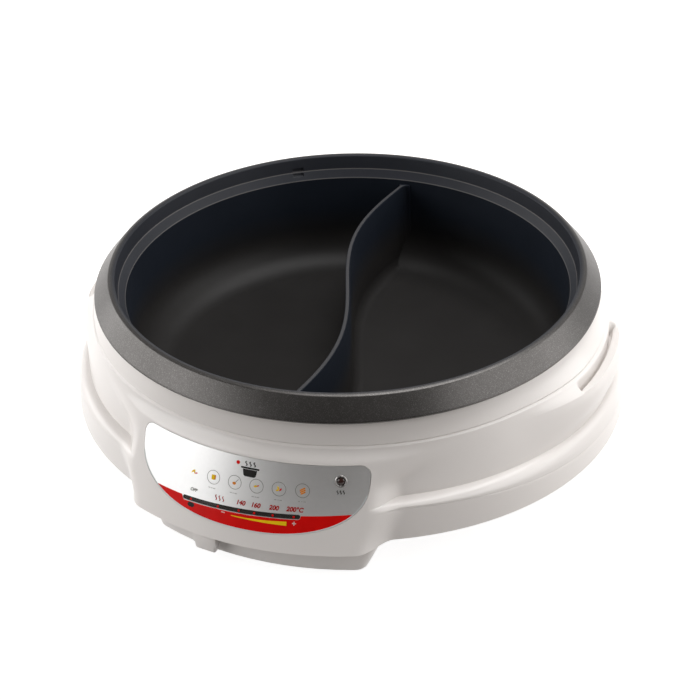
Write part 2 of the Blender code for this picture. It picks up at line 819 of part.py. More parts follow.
def lobe_outline(front, half, corner):
    """Plan of the lobe: an arc at the front, round corners and straight sides."""
    angle = math.asin((half - corner) / (front - corner))
    quarter = math.pi / 2
    centre = ((half - corner), -math.sqrt((front - corner) ** 2 - (half - corner) ** 2))
    arc = arc_points((0.0, 0.0), front, -quarter, -quarter + angle, 6)
    turn = arc_points(centre, corner, -quarter + angle, 0.0, 4)
    right = arc + turn[1:] + [(half, -tray_foot_radius / 2)]
    left = [(-x, y) for x, y in reversed(right[1:])]
    return [(x + lobe_offset, y) for x, y in left + right]


def loft_plans(name, low_plan, low, high_plan, high, cutters):
    """Join two plans with as many points at two heights."""
    work = bmesh.new()
    lower = [work.verts.new((x, y, low)) for x, y in low_plan]
    upper = [work.verts.new((x, y, high)) for x, y in high_plan]
    count = len(lower)
    for i in range(count):
        j = (i + 1) % count
        work.faces.new((lower[i], lower[j], upper[j], upper[i]))
    work.faces.new(list(reversed(lower)))
    work.faces.new(upper)
    bmesh.ops.recalc_face_normals(work, faces=work.faces)
    mesh = bpy.data.meshes.new(name)
    work.to_mesh(mesh)
    work.free()
    return new_object(name, mesh, cutters)


def lobe_solids(cutters):
    """The lobe's drafted body, its neck inside the console, and its hollow."""
    ledge = skirt_foot_height - gap
    foot = lobe_outline(lobe_radius, lobe_half_width, lobe_corner)
    brim = lobe_outline(lobe_radius, lobe_half_width + lobe_draft, lobe_corner)
    neck = lobe_outline(lobe_radius - gap, lobe_neck_half_width, lobe_neck_corner)
    inner_foot = lobe_outline(lobe_radius - tray_wall, lobe_half_width - tray_wall, lobe_corner - tray_wall)
    inner_neck = lobe_outline(lobe_radius - gap - tray_wall, lobe_neck_half_width - tray_wall,
                              lobe_neck_corner - tray_wall)
    body = loft_plans("lobe_body", foot, foot_height, brim, ledge, cutters)
    boolean(body, loft_plans("lobe_neck", neck, ledge - tray_wall, neck, tray_flange_top, cutters), "UNION")
    hollow = loft_plans("lobe_hollow", inner_foot, tray_floor, inner_neck, tray_flange_top + overrun, cutters)
    return body, hollow


def make_tray(group, cutters, finish):
    low = foot_height
    edge = skirt_foot_radius - shell_wall - tray_fit
    flange_low = skirt_foot_height - gap
    profile = [
        (0.0, tray_flange_top),
        (edge, tray_flange_top),
        (edge, flange_low),
        (tray_top_radius, flange_low),
        (tray_foot_radius + tray_wall, low + tray_wall),
        (tray_foot_radius, low),
        (0.0, low),
    ]
    tray = turned("base_tray", profile, group, 52)
    tray = baked(tray)
    for vertex in tray.data.vertices:
        x, y, _ = vertex.co
        if math.hypot(x, y) > tray_top_radius + tray_wall:
            stretch = oval(math.atan2(x, -y), skirt_foot_height)
            vertex.co.x *= stretch
            vertex.co.y *= stretch
    lobe, lobe_hollow = lobe_solids(cutters)
    boolean(tray, lobe, "UNION")
    hollow = turned("tray_hollow", [
        (0.0, tray_flange_top + overrun),
        (tray_top_radius - tray_wall, tray_flange_top + overrun),
        (tray_top_radius - tray_wall, flange_low),
        (tray_foot_radius - tray_wall / 2, tray_floor),
        (0.0, tray_floor),
    ], cutters, 52)
    boolean(hollow, lobe_hollow, "UNION")
    boolean(tray, hollow, "DIFFERENCE")
    for i in range(4):
        azimuth = math.pi / 4 + math.pi / 2 * i
        x, y, _ = polar(pillar_circle, azimuth)
        pillar = cylinder("pillar_%d" % i, pillar_radius, tray_floor - tray_wall / 2, bowl_floor - gap,
                          cutters, (x, y), 16)
        boolean(tray, pillar, "UNION")
        x, y, _ = polar(foot_circle, azimuth)
        hole = cylinder("foot_hole_%d" % i, foot_stem_radius + gap, low - overrun, tray_floor + overrun,
                        cutters, (x, y), 12)
        boolean(tray, hole, "DIFFERENCE")
        x, y, _ = polar(screw_circle, screw_azimuths[i])
        hole = cylinder("screw_hole_%d" % i, screw_radius + gap, flange_low - overrun, tray_flange_top + overrun,
                        cutters, (x, y), 12)
        boolean(tray, hole, "DIFFERENCE")
    tray.data.materials.append(finish)
    return tray


def make_feet(group, finish):
    made = []
    for i, name in enumerate(("front_right", "rear_right", "rear_left", "front_left")):
        profile = [
            (0.0, tray_floor + foot_stem_reach),
            (foot_stem_radius, tray_floor + foot_stem_reach),
            (foot_stem_radius, foot_height - gap),
            (foot_radius, foot_height - gap),
            (foot_radius, foot_height / 6),
            (foot_radius - foot_height / 6, 0.0),
            (0.0, 0.0),
        ]
        foot = turned("foot_" + name, profile, group, 14)
        foot.location = polar(foot_circle, math.pi / 4 + math.pi / 2 * i)
        foot.data.materials.append(finish)
        made.append(foot)
    return made


def make_screws(group, finish):
    made = []
    top = skirt_foot_height - gap * 2
    for i, azimuth in enumerate(screw_azimuths):
        tip = tray_flange_top + screw_length - gap
        profile = [
            (0.0, tip),
            (screw_radius / 2, tip),
            (screw_radius, tip - screw_radius),
            (screw_radius, top),
            (screw_head_radius, top),
            (screw_head_radius, top - screw_head_height / 2),
            (screw_head_radius / 2, top - screw_head_height),
            (0.0, top - screw_head_height),
        ]
        screw = turned("tray_screw_%d" % (i + 1), profile, group, 12)
        screw.location = polar(screw_circle, azimuth)
        screw.data.materials.append(finish)
        made.append(screw)
    return made


# Bowl, heater and their carriers

def heater_end(side):
    """Where a leg of the ring goes down, to the left (-1) or right (1) of the rear."""
    return polar(heater_circle, math.pi - side * heater_gap_angle)


def make_bowl(group, cutters, finish):
    floor_edge = bowl_floor_radius
    corner = arc_points((floor_edge, bowl_floor + bowl_corner), bowl_corner, 0.0, -math.pi / 2, 3)
    flange_height = collar_top_height - shell_wall - bowl_wall - gap * 2
    outer = [
        (bowl_top_radius + bowl_flange, flange_height),
        (bowl_top_radius, flange_height),
    ] + corner + [(0.0, bowl_floor)]
    bowl = turned("reflector_bowl", outer, group, 48)
    thick = bowl.modifiers.new("sheet", "SOLIDIFY")
    thick.thickness = bowl_wall
    thick.offset = -1.0
    thick.use_even_offset = True
    centre = cylinder("sensor_hole", bowl_centre_hole, bowl_floor - overrun, bowl_floor + overrun + bowl_wall,
                      cutters, sides=20)
    boolean(bowl, centre, "DIFFERENCE")
    for side in (-1, 1):
        x, y, _ = heater_end(side)
        hole = cylinder("bush_hole_%d" % side, bush_radius + gap, bowl_floor - overrun,
                        bowl_floor + bowl_wall + overrun, cutters, (x, y), 20)
        boolean(bowl, hole, "DIFFERENCE")
    bowl.data.materials.append(finish)
    return bowl


def make_heater(group, finish):
    """One tube: a leg, a bend, nearly a whole ring, a bend and a leg."""
    points = []
    ring_half = math.pi - heater_gap_angle - heater_bend / heater_circle
    for side in (-1, 1):
        end = heater_end(side)
        tangent = polar(1.0, math.pi - side * (heater_gap_angle + math.pi / 2))
        bend = [Vector((end.x, end.y, heater_leg_height))]
        for i in range(5):
            angle = math.pi / 2 * i / 4
            out = heater_bend * (1.0 - math.cos(angle))
            up = heater_bend * math.sin(angle)
            bend.append(end + tangent * out + Vector((0.0, 0.0, heater_height - heater_bend + up)))
        if side == -1:
            points += bend
            count = 34
            for i in range(1, count):
                azimuth = -ring_half + 2 * ring_half * i / count
                points.append(polar(heater_circle, azimuth, heater_height))
        else:
            points += list(reversed(bend))
    curve = bpy.data.curves.new("heater_element", "CURVE")
    curve.dimensions = "3D"
    curve.bevel_depth = heater_radius
    curve.bevel_resolution = 2
    curve.use_fill_caps = True
    spline = curve.splines.new("POLY")
    spline.points.add(len(points) - 1)
    for point, place_at in zip(spline.points, points):
        point.co = (*place_at, 1.0)
    heater = new_object("heater_element", curve, group)
    heater = baked(heater)
    heater.data.materials.append(finish)
    return heater


def make_saddles(group, cutters, finish):
    made = []
    low = bowl_floor + bowl_wall + gap
    high = heater_height - saddle_cover
    for name, azimuth in (("front", 0.0), ("right", math.tau / 3), ("left", -math.tau / 3)):
        saddle = block("heater_saddle_" + name, (-saddle_length / 2, -heater_circle - saddle_width / 2, low),
                       (saddle_length / 2, -heater_circle + saddle_width / 2, high), group)
        groove = cylinder("groove_" + name, heater_radius * 1.15, -saddle_length, saddle_length, cutters, sides=16)
        lay = Matrix.Translation((0.0, -heater_circle, heater_height)) @ Matrix.Rotation(math.pi / 2, 4, "Y")
        turn = Matrix.Rotation(azimuth, 4, "Z")
        groove.matrix_world = turn @ lay
        saddle.matrix_world = turn
        boolean(saddle, groove, "DIFFERENCE")
        saddle.data.materials.append(finish)
        made.append(saddle)
    return made


def make_bushes(group, finish):
    made = []
    bore = heater_radius + bush_clearance
    top = bowl_floor + bowl_wall + bush_rise
    flange = bowl_floor - gap
    for name, side in (("left", -1), ("right", 1)):
        profile = [
            (bore, top),
            (bush_radius, top),
            (bush_radius, flange),
            (bush_flange_radius, flange),
            (bush_flange_radius, flange - bush_flange_height),
            (bush_radius, flange - bush_flange_height),
            (bush_radius, top - bush_length),
            (bore, top - bush_length),
        ]
        bush = turned("heater_bush_" + name, profile, group, 14, closed=True)
        bush.location = heater_end(side)
        bush.data.materials.append(finish)
        made.append(bush)
    return made


# Sensor, thermostat and lever

def make_sensor(group, button_finish, spring_finish):
    head_top = pan_bottom - gap
    head_low = head_top - sensor_head
    stem_low = tray_floor + gap + thermostat_height / 2
    profile = [
        (0.0, head_top),
        (sensor_radius - sensor_head / 3, head_top),
        (sensor_radius, head_top - sensor_head / 3),
        (sensor_radius, head_low),
        (sensor_stem_radius, head_low),
        (sensor_stem_radius, stem_low),
        (0.0, stem_low),
    ]
    button = turned("sensor_button", profile, group, 24)
    button.data.materials.append(button_finish)
    low = bowl_floor + bowl_wall + gap + spring_wire
    high = head_low - gap - spring_wire
    steps = 12 * spring_turns
    curve = bpy.data.curves.new("sensor_spring", "CURVE")
    curve.dimensions = "3D"
    curve.bevel_depth = spring_wire
    curve.bevel_resolution = 0
    curve.use_fill_caps = True
    spline = curve.splines.new("POLY")
    spline.points.add(steps)
    for i, point in enumerate(spline.points):
        angle = math.tau * spring_turns * i / steps
        x, y, z = polar(spring_radius, angle, low + (high - low) * i / steps)
        point.co = (x, y, z, 1.0)
    spring = baked(new_object("sensor_spring", curve, group))
    spring.data.materials.append(spring_finish)
    return button, spring


def make_thermostat(group, cutters, finish):
    low = tray_floor + gap
    high = low + thermostat_height
    body = block("thermostat_body", (-thermostat_length / 2, -thermostat_width / 2, low),
                 (thermostat_length / 2, thermostat_width / 2, high), group)
    bore_low = low + thermostat_height / 2 - sensor_travel - gap
    bore = cylinder("thermostat_bore", sensor_stem_radius + gap, bore_low, high + overrun, cutters, sides=20)
    rounded_edges(body, spindle_flange, 1)
    boolean(body, bore, "DIFFERENCE")
    body.data.materials.append(finish)
    return body


def make_spindle(group, finish):
    low = tray_floor + gap * 2 + thermostat_height
    profile = [
        (spindle_bore, bowl_floor - gap),
        (spindle_radius, bowl_floor - gap),
        (spindle_radius, arm_height - gap),
        (spindle_flange_radius, arm_height - gap),
        (spindle_flange_radius, low),
        (spindle_bore, low),
    ]
    spindle = turned("cam_spindle", profile, group, 18, closed=True)
    spindle.data.materials.append(finish)
    return spindle


def side_matrix():
    """Put an outline of (radius, height) upright in the plane from the axis to the front."""
    return Matrix(((0.0, 0.0, 1.0, 0.0), (-1.0, 0.0, 0.0, 0.0), (0.0, 1.0, 0.0, 0.0), (0.0, 0.0, 0.0, 1.0)))


def knob_heights():
    """Underside and top of the bridge that crosses the lobe's neck."""
    low = tray_flange_top + knob_clearance
    return low, low + knob_bridge


def make_lever(group, cutters, arm_finish, knob_finish, pointer_finish):
    bridge_low, bridge_high = knob_heights()
    tongue = bridge_high + gap
    arm = extruded("lever_arm", [
        (spindle_radius + arm_thickness, arm_height),
        (arm_rise_radius + arm_thickness, arm_height),
        (arm_rise_radius + arm_thickness, tongue),
        (arm_end_radius, tongue),
        (arm_end_radius, tongue + arm_thickness),
        (arm_rise_radius, tongue + arm_thickness),
        (arm_rise_radius, arm_height + arm_thickness),
        (spindle_radius + arm_thickness, arm_height + arm_thickness),
    ], arm_half_width, group, side_matrix())
    hub = cylinder("arm_hub", arm_hub_radius, arm_height, arm_height + arm_thickness, cutters, sides=32)
    boolean(arm, hub, "UNION")
    eye = cylinder("arm_eye", spindle_radius + gap, arm_height - overrun, arm_height + arm_thickness + overrun,
                   cutters, sides=24)
    boolean(arm, eye, "DIFFERENCE")
    arm.data.materials.append(arm_finish)

    stem_inner = lobe_radius + lobe_offset * math.sin(window_half_angle) + knob_clearance
    stem_outer = stem_inner + knob_stem
    tab_outer = console_foot_radius - knob_setback
    tab_low = skirt_foot_height - knob_drop
    tab_high = skirt_foot_height - knob_clearance
    knob = extruded("slide_knob", [
        (stem_inner, tab_low),
        (tab_outer, tab_low),
        (tab_outer, tab_high),
        (stem_outer, tab_high),
        (stem_outer, bridge_high),
        (knob_inner_radius, bridge_high),
        (knob_inner_radius, bridge_low),
        (stem_inner, bridge_low),
    ], knob_half_width, group, side_matrix())
    rounded_edges(knob, knob_edge)
    knob.data.materials.append(knob_finish)

    pointer_low = tongue + arm_thickness + gap
    pointer_high = window_height_mid + window_height
    pointer_outer = face_radius(pointer_high) - shell_wall - pointer_clearance
    pointer_inner = pointer_outer - pointer_thickness
    pointer = extruded("pointer", [
        (pointer_foot_radius, pointer_low),
        (pointer_outer, pointer_low),
        (pointer_outer, pointer_high),
        (pointer_inner, pointer_high),
        (pointer_inner, pointer_low + pointer_thickness),
        (pointer_foot_radius, pointer_low + pointer_thickness),
    ], pointer_half_width, group, side_matrix())
    pointer.data.materials.append(pointer_finish)
    return [arm, knob, pointer]


# Power inlet and the parts behind it

def inlet_box(grow=0.0):
    """Corners of the inlet's body; its face lies just inside the skirt."""
    low_z = tray_flange_top + inlet_foot_rise - gap * 2
    face = skirt_rear - gap * 5
    low = (-inlet_half_width - grow, face - inlet_depth - grow, low_z - grow)
    high = (inlet_half_width + grow, face, low_z + inlet_height + grow)
    return low, high


def make_inlet(group, cutters, body_finish, pin_finish):
    low, high = inlet_box()
    socket = block("inlet_socket", low, high, group)
    rounded_edges(socket, inlet_wall / 4, 1)
    recess_low = (low[0] + inlet_wall, high[1] - inlet_recess, low[2] + inlet_wall)
    recess_high = (high[0] - inlet_wall, high[1] + overrun, high[2] - inlet_wall)
    boolean(socket, block("inlet_recess", recess_low, recess_high, cutters), "DIFFERENCE")
    height = (low[2] + high[2]) / 2
    pins = []
    for name, place_share in (("line", -1), ("earth", 0), ("neutral", 1)):
        x = place_share * inlet_pin_pitch
        back = low[1] - inlet_pin_tail
        front = recess_low[1] + inlet_pin_reach
        lay = Matrix.Translation((x, 0.0, height)) @ Matrix.Rotation(-math.pi / 2, 4, "X")
        hole = cylinder("pin_hole_" + name, inlet_pin_radius + gap, back - overrun, front + overrun, cutters, sides=16)
        hole.matrix_world = lay
        boolean(socket, hole, "DIFFERENCE")
        tip = inlet_pin_radius / 2
        pin = turned("inlet_pin_" + name, [
            (0.0, front),
            (inlet_pin_radius - tip, front),
            (inlet_pin_radius, front - tip),
            (inlet_pin_radius, back),
            (0.0, back),
        ], group, 16)
        pin.matrix_world = lay
        pin.data.materials.append(pin_finish)
        pins.append(pin)
    socket.data.materials.append(body_finish)
    return [socket] + pins


def make_small_parts(group, cutters, block_finish, fuse_finish):
    low = tray_floor + gap
    terminal = block("terminal_block", (-block_length / 2, block_circle - block_width / 2, low),
                     (block_length / 2, block_circle + block_width / 2, low + block_height), group)
    rounded_edges(terminal, bowl_wall, 1)
    for i in (-1, 0, 1):
        well = cylinder("well_%d" % i, foot_stem_radius, low + block_height / 2, low + block_height + overrun,
                        cutters, (i * block_length / 3.3, block_circle), 12)
        boolean(terminal, well, "DIFFERENCE")
    terminal.data.materials.append(block_finish)
    fuse = turned("thermal_fuse", [
        (0.0, fuse_length / 2),
        (fuse_radius * 0.4, fuse_length / 2),
        (fuse_radius, fuse_length * 0.4),
        (fuse_radius, -fuse_length * 0.4),
        (fuse_radius * 0.4, -fuse_length / 2),
        (0.0, -fuse_length / 2),
    ], group, 16)
    lay = Matrix.Translation((fuse_place, block_circle - block_width * 1.2, low + fuse_radius))
    fuse.matrix_world = lay @ Matrix.Rotation(math.pi / 2, 4, "Y")
    fuse.data.materials.append(fuse_finish)
    return [terminal, fuse]


def main():
    clear_scene()
    parts = collection("electric_hot_pot")
    cutters = collection("cutters")
    white = material("white_plastic", (0.80, 0.79, 0.77), 0.28)
    coated = material("nonstick_coating", (0.035, 0.034, 0.034), 0.45, 0.35)
    print_silver = material("printed_panel", (0.72, 0.73, 0.74), 0.35, 0.5)
    dark_glass = material("smoked_window", (0.05, 0.045, 0.045), 0.2, 0.0, 0.6)
    lens_amber = material("lamp_lens", (0.20, 0.10, 0.08), 0.15)
    black_plastic = material("black_plastic", (0.03, 0.03, 0.03), 0.5)
    steel = material("plated_steel", (0.62, 0.62, 0.60), 0.35, 1.0)
    sheath = material("heater_sheath", (0.22, 0.21, 0.20), 0.45, 0.9)
    ceramic = material("ceramic", (0.82, 0.79, 0.72), 0.6)
    brass = material("brass", (0.72, 0.55, 0.28), 0.35, 1.0)
    rubber = material("rubber", (0.04, 0.04, 0.04), 0.85)
    red = material("red_plastic", (0.65, 0.05, 0.03), 0.4)

    pan_pivot = bpy.data.objects.new("pan_pivot", None)
    lever_pivot = bpy.data.objects.new("lever_pivot", None)
    for pivot in (pan_pivot, lever_pivot):
        parts.objects.link(pivot)

    made = [
        make_pan(parts, cutters, coated),
        make_shell(parts, cutters, white),
        make_fascia(parts, cutters, print_silver),
        make_window(parts, cutters, dark_glass),
        *make_lamp(parts, cutters, lens_amber, black_plastic),
        make_tray(parts, cutters, white),
        *make_feet(parts, rubber),
        *make_screws(parts, steel),
        make_bowl(parts, cutters, steel),
        make_heater(parts, sheath),
        *make_saddles(parts, cutters, steel),
        *make_bushes(parts, ceramic),
        *make_sensor(parts, steel, steel),
        make_thermostat(parts, cutters, black_plastic),
        *make_inlet(parts, cutters, black_plastic, brass),
        *make_small_parts(parts, cutters, ceramic, steel),
    ]
    spindle = make_spindle(parts, brass)
    levers = make_lever(parts, cutters, steel, white, red) + [spindle]

    bpy.context.view_layer.update()
    for obj in list(parts.objects) + list(cutters.objects):
        if obj in (pan_pivot, lever_pivot):
            continue
        obj.parent = pan_pivot
    for obj in levers + [o for o in cutters.objects if o.name in ("arm_hub", "arm_eye")]:
        obj.parent = lever_pivot
    lever_pivot.parent = pan_pivot
    lever_pivot.rotation_euler.z = lever_rest_azimuth
    pan_pivot.location.y = axis_y
    for obj in made + levers:
        if obj.type == "MESH":
            shade(obj)


main()
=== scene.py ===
import json
from math import atan2, cos, dist, pi, radians, sin, sqrt, tan, tau

import bmesh
import bpy
from mathutils import Matrix, Vector

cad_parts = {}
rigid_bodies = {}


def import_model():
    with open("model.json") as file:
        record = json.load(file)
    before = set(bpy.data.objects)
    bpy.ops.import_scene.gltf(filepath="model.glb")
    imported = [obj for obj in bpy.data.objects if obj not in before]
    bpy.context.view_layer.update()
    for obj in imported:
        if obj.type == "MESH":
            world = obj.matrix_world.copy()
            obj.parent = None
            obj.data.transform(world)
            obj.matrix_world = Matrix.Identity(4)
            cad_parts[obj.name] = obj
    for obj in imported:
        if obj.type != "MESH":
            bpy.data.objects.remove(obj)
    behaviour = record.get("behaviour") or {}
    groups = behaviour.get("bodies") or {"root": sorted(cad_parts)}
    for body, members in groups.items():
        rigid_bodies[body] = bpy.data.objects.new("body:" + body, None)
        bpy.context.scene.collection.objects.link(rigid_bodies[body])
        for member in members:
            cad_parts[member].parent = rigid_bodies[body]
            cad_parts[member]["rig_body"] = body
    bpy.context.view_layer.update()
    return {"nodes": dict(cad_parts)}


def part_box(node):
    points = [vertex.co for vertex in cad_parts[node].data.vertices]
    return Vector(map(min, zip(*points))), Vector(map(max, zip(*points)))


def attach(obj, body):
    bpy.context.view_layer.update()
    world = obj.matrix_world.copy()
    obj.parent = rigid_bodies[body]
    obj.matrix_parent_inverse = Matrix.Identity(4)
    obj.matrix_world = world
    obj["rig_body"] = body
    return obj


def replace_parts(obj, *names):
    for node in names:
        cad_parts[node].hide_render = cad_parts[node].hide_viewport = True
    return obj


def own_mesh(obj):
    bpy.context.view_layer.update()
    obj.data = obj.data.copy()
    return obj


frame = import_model()

MM = 0.001
weld_distance = 0.002 * MM
fit_gap = 0.3 * MM

# The pan's axis, and the console's face, which is part of a cone round it
pot_low, pot_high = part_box("pot")
axis_y = (pot_low.y + pot_high.y) / 2
console_foot_radius = 201.2 * MM
console_brow_radius = 178.2 * MM
console_foot_height = 20.0 * MM
console_brow_height = 79.0 * MM
console_lean = atan2(console_foot_radius - console_brow_radius, console_brow_height - console_foot_height)

# Panel, dial slot and lamp
fascia_half_width = 77.0 * MM
fascia_offset = 1.6 * MM
fascia_side_height = 62.0 * MM
fascia_top_height = 73.8 * MM
fascia_low_height = 30.0 * MM
fascia_corner = 7.0 * MM
fascia_bulge = 2.5
plate_back = -0.9 * MM
window_front = -0.25 * MM
window_gap = 0.15 * MM
slot_height = 41.0 * MM
slot_half_height = 1.45 * MM
slot_half_angle = radians(12)
slot_tilt = 0.04
number_tilt = 0.025
icon_tilt = 0.027
band_left_tilt = 0.012
band_right_tilt = 0.055
lamp_azimuth = radians(19.7)
lamp_height = 65.0 * MM
lamp_radius = 2.5 * MM
lamp_gap = 0.25 * MM

# Pan
crest_height = 114.0 * MM
rim_radius = 175.0 * MM
rim_edge_height = crest_height - 12.6 * MM
crest_inner_radius = 160.0 * MM
crest_width = 4.7 * MM
crest_rise = 1.8 * MM
ledge_outer_radius = 158.5 * MM
ledge_inner_radius = 153.8 * MM
ledge_brow_height = crest_height - 9.0 * MM
ledge_foot_height = crest_height - 14.6 * MM
pan_bottom = 29.0 * MM
pan_floor = 32.0 * MM
pan_wall = 3.0 * MM
pan_draft = 1.5 * MM
pan_corner_radius = 27.0 * MM
divider_top_height = crest_height - 18.0 * MM
divider_top_half = 1.4 * MM
divider_draft = 1.0 * MM
divider_crown = 0.9 * MM
divider_foot_fillet = 8.0 * MM
divider_end_fillet = 4.0 * MM
divider_bite = 1.5 * MM
divider_sway = 14.5 * MM
divider_yaw = radians(5)
notch_size = Vector((8.8, 2.9, 2.4)) * MM
notch_azimuths = [radians(a) for a in (-145, -25, 95)]

# Body shell
collar_top_height = 102.3 * MM
collar_lip_radius = 163.5 * MM
crease_radius = 175.6 * MM
crease_height = 84.0 * MM
valley_radius = 180.6 * MM
valley_height = 47.0 * MM
shoulder_radius = 189.0 * MM
shoulder_height = 3.7 * MM
shoulder_edge_height = 43.3 * MM
shoulder_sag = 10.0 * MM
shoulder_sag_from = radians(30)
shoulder_sag_to = radians(82)
skirt_foot_radius = 189.8 * MM
shell_skin = 1.6 * MM
shell_steps = 320
oval_share = 0.0235
console_blend_height = 9.0 * MM
console_foot_angle = radians(25.8)
console_left_angle = radians(29.4)
console_right_angle = radians(28.2)
console_flank = radians(3.9)
console_fade = radians(7.0)
console_fade_from = 56.0 * MM
grip_swell = 9.8 * MM
grip_drop = 3.0 * MM
grip_azimuth = radians(89)
grip_half_angle = radians(13.6)
grip_flat = radians(7)
grip_fade = radians(25)
grip_slot_outer = 184.0 * MM
grip_slot_floor = 69.0 * MM
grip_slot_steps = 25
slot_end = radians(1.8)

# Slide tab
knob_width = 17.0 * MM
knob_foot_share = 0.86
knob_outer_radius = 200.6 * MM
knob_inner_radius = 194.6 * MM
knob_lean = 0.8 * MM
knob_low = 6.8 * MM
knob_high = 19.7 * MM
knob_edge = 1.5 * MM

# Printed marks, and the painted highlight along the panel's lower edge: lifts over the panel and places,
# azimuths in degrees
print_lift = 0.06 * MM
print_half_thickness = 0.05 * MM
edge_highlight_lift = 0.02 * MM
over_lift = 0.12 * MM
edge_highlight_top = 56.0 * MM
icon_height = 57.5 * MM
dash_height = icon_height - 6.6 * MM
icon_azimuths = (-5.9, -1.3, 3.2, 7.7, 12.3)
pictogram_azimuth = 1.6
pictogram_height = 65.6 * MM
slice_length = 4.0 * MM


# Node helpers

def add(near, kind, inputs=None, **settings):
    """A node in the tree that a socket, node or tree is part of: sockets are linked, values are set."""
    tree = near.id_data
    made = tree.nodes.new("ShaderNode" + kind)
    for key, value in settings.items():
        setattr(made, key, value)
    for key, value in (inputs or {}).items():
        if isinstance(value, bpy.types.NodeSocket):
            tree.links.new(value, made.inputs[key])
        else:
            made.inputs[key].default_value = value
    return made


def wire(node, name, value):
    node.id_data.links.new(value, node.inputs[name])


def dress(shader, colour, roughness):
    wire(shader, "Base Color", colour)
    wire(shader, "Roughness", roughness)


def math_node(operation, first, second=0.5):
    return add(first, "Math", {0: first, 1: second}, operation=operation).outputs[0]


def times(first, second):
    return math_node("MULTIPLY", first, second)


def fade(value, near, far, low=0.0, high=1.0):
    """From low where the value is near to high where it is far, and level beyond."""
    return add(value, "MapRange", {"Value": value, "From Min": near, "From Max": far,
                                   "To Min": low, "To Max": high}, clamp=True).outputs[0]


def blend(factor, first, second):
    return add(factor, "Mix", {"Factor": factor, 6: first, 7: second}, data_type="RGBA").outputs[2]


def ramp(value, first, second, places=(0.3, 0.7)):
    """A ramp between two colours, or two greys given as numbers."""
    made = add(value, "ValToRGB", {0: value})
    for point, place, colour in zip(made.color_ramp.elements, places, (first, second)):
        point.position = place
        point.color = (*colour, 1.0) if isinstance(colour, tuple) else (colour, colour, colour, 1.0)
    return made.outputs[0]


def noise(place, scale, detail=2.0):
    return add(place, "TexNoise", {"Vector": place, "Scale": scale, "Detail": detail}).outputs["Fac"]


def start(name, constants):
    """A new material, its shader with constants set, and its place coordinates."""
    made = bpy.data.materials.new(name)
    made.use_nodes = True
    shader = made.node_tree.nodes["Principled BSDF"]
    for key, value in constants.items():
        shader.inputs[key].default_value = value
    return made, shader, add(shader, "TexCoord").outputs["Object"]


def bump(shader, height, strength, distance):
    made = add(shader, "Bump", {"Height": height, "Strength": strength, "Distance": distance})
    wire(shader, "Normal", made.outputs[0])


def separate(vector):
    return tuple(add(vector, "SeparateXYZ", {0: vector}).outputs)


# Materials

def moulded_plastic(name, light, dark, roughness, coat, grain=0.02):
    """Moulded plastic: faint cloudy tint, fine orange peel and uneven gloss."""
    made, shader, place = start(name, {"Coat Weight": coat, "Coat Roughness": 0.14})
    dress(shader, ramp(noise(place, 14.0), dark, light, (0.0, 1.0)),
          ramp(noise(place, 60.0), roughness * 0.96, roughness * 1.05, (0.0, 1.0)))
    bump(shader, noise(place, 900.0), grain, 0.0001)
    return made


def edge_mask(height, at):
    """One at a height, falling off to nought half a millimetre away."""
    away = math_node("ABSOLUTE", math_node("SUBTRACT", height, at))
    return fade(away, 0.55 * MM, 0.15 * MM)


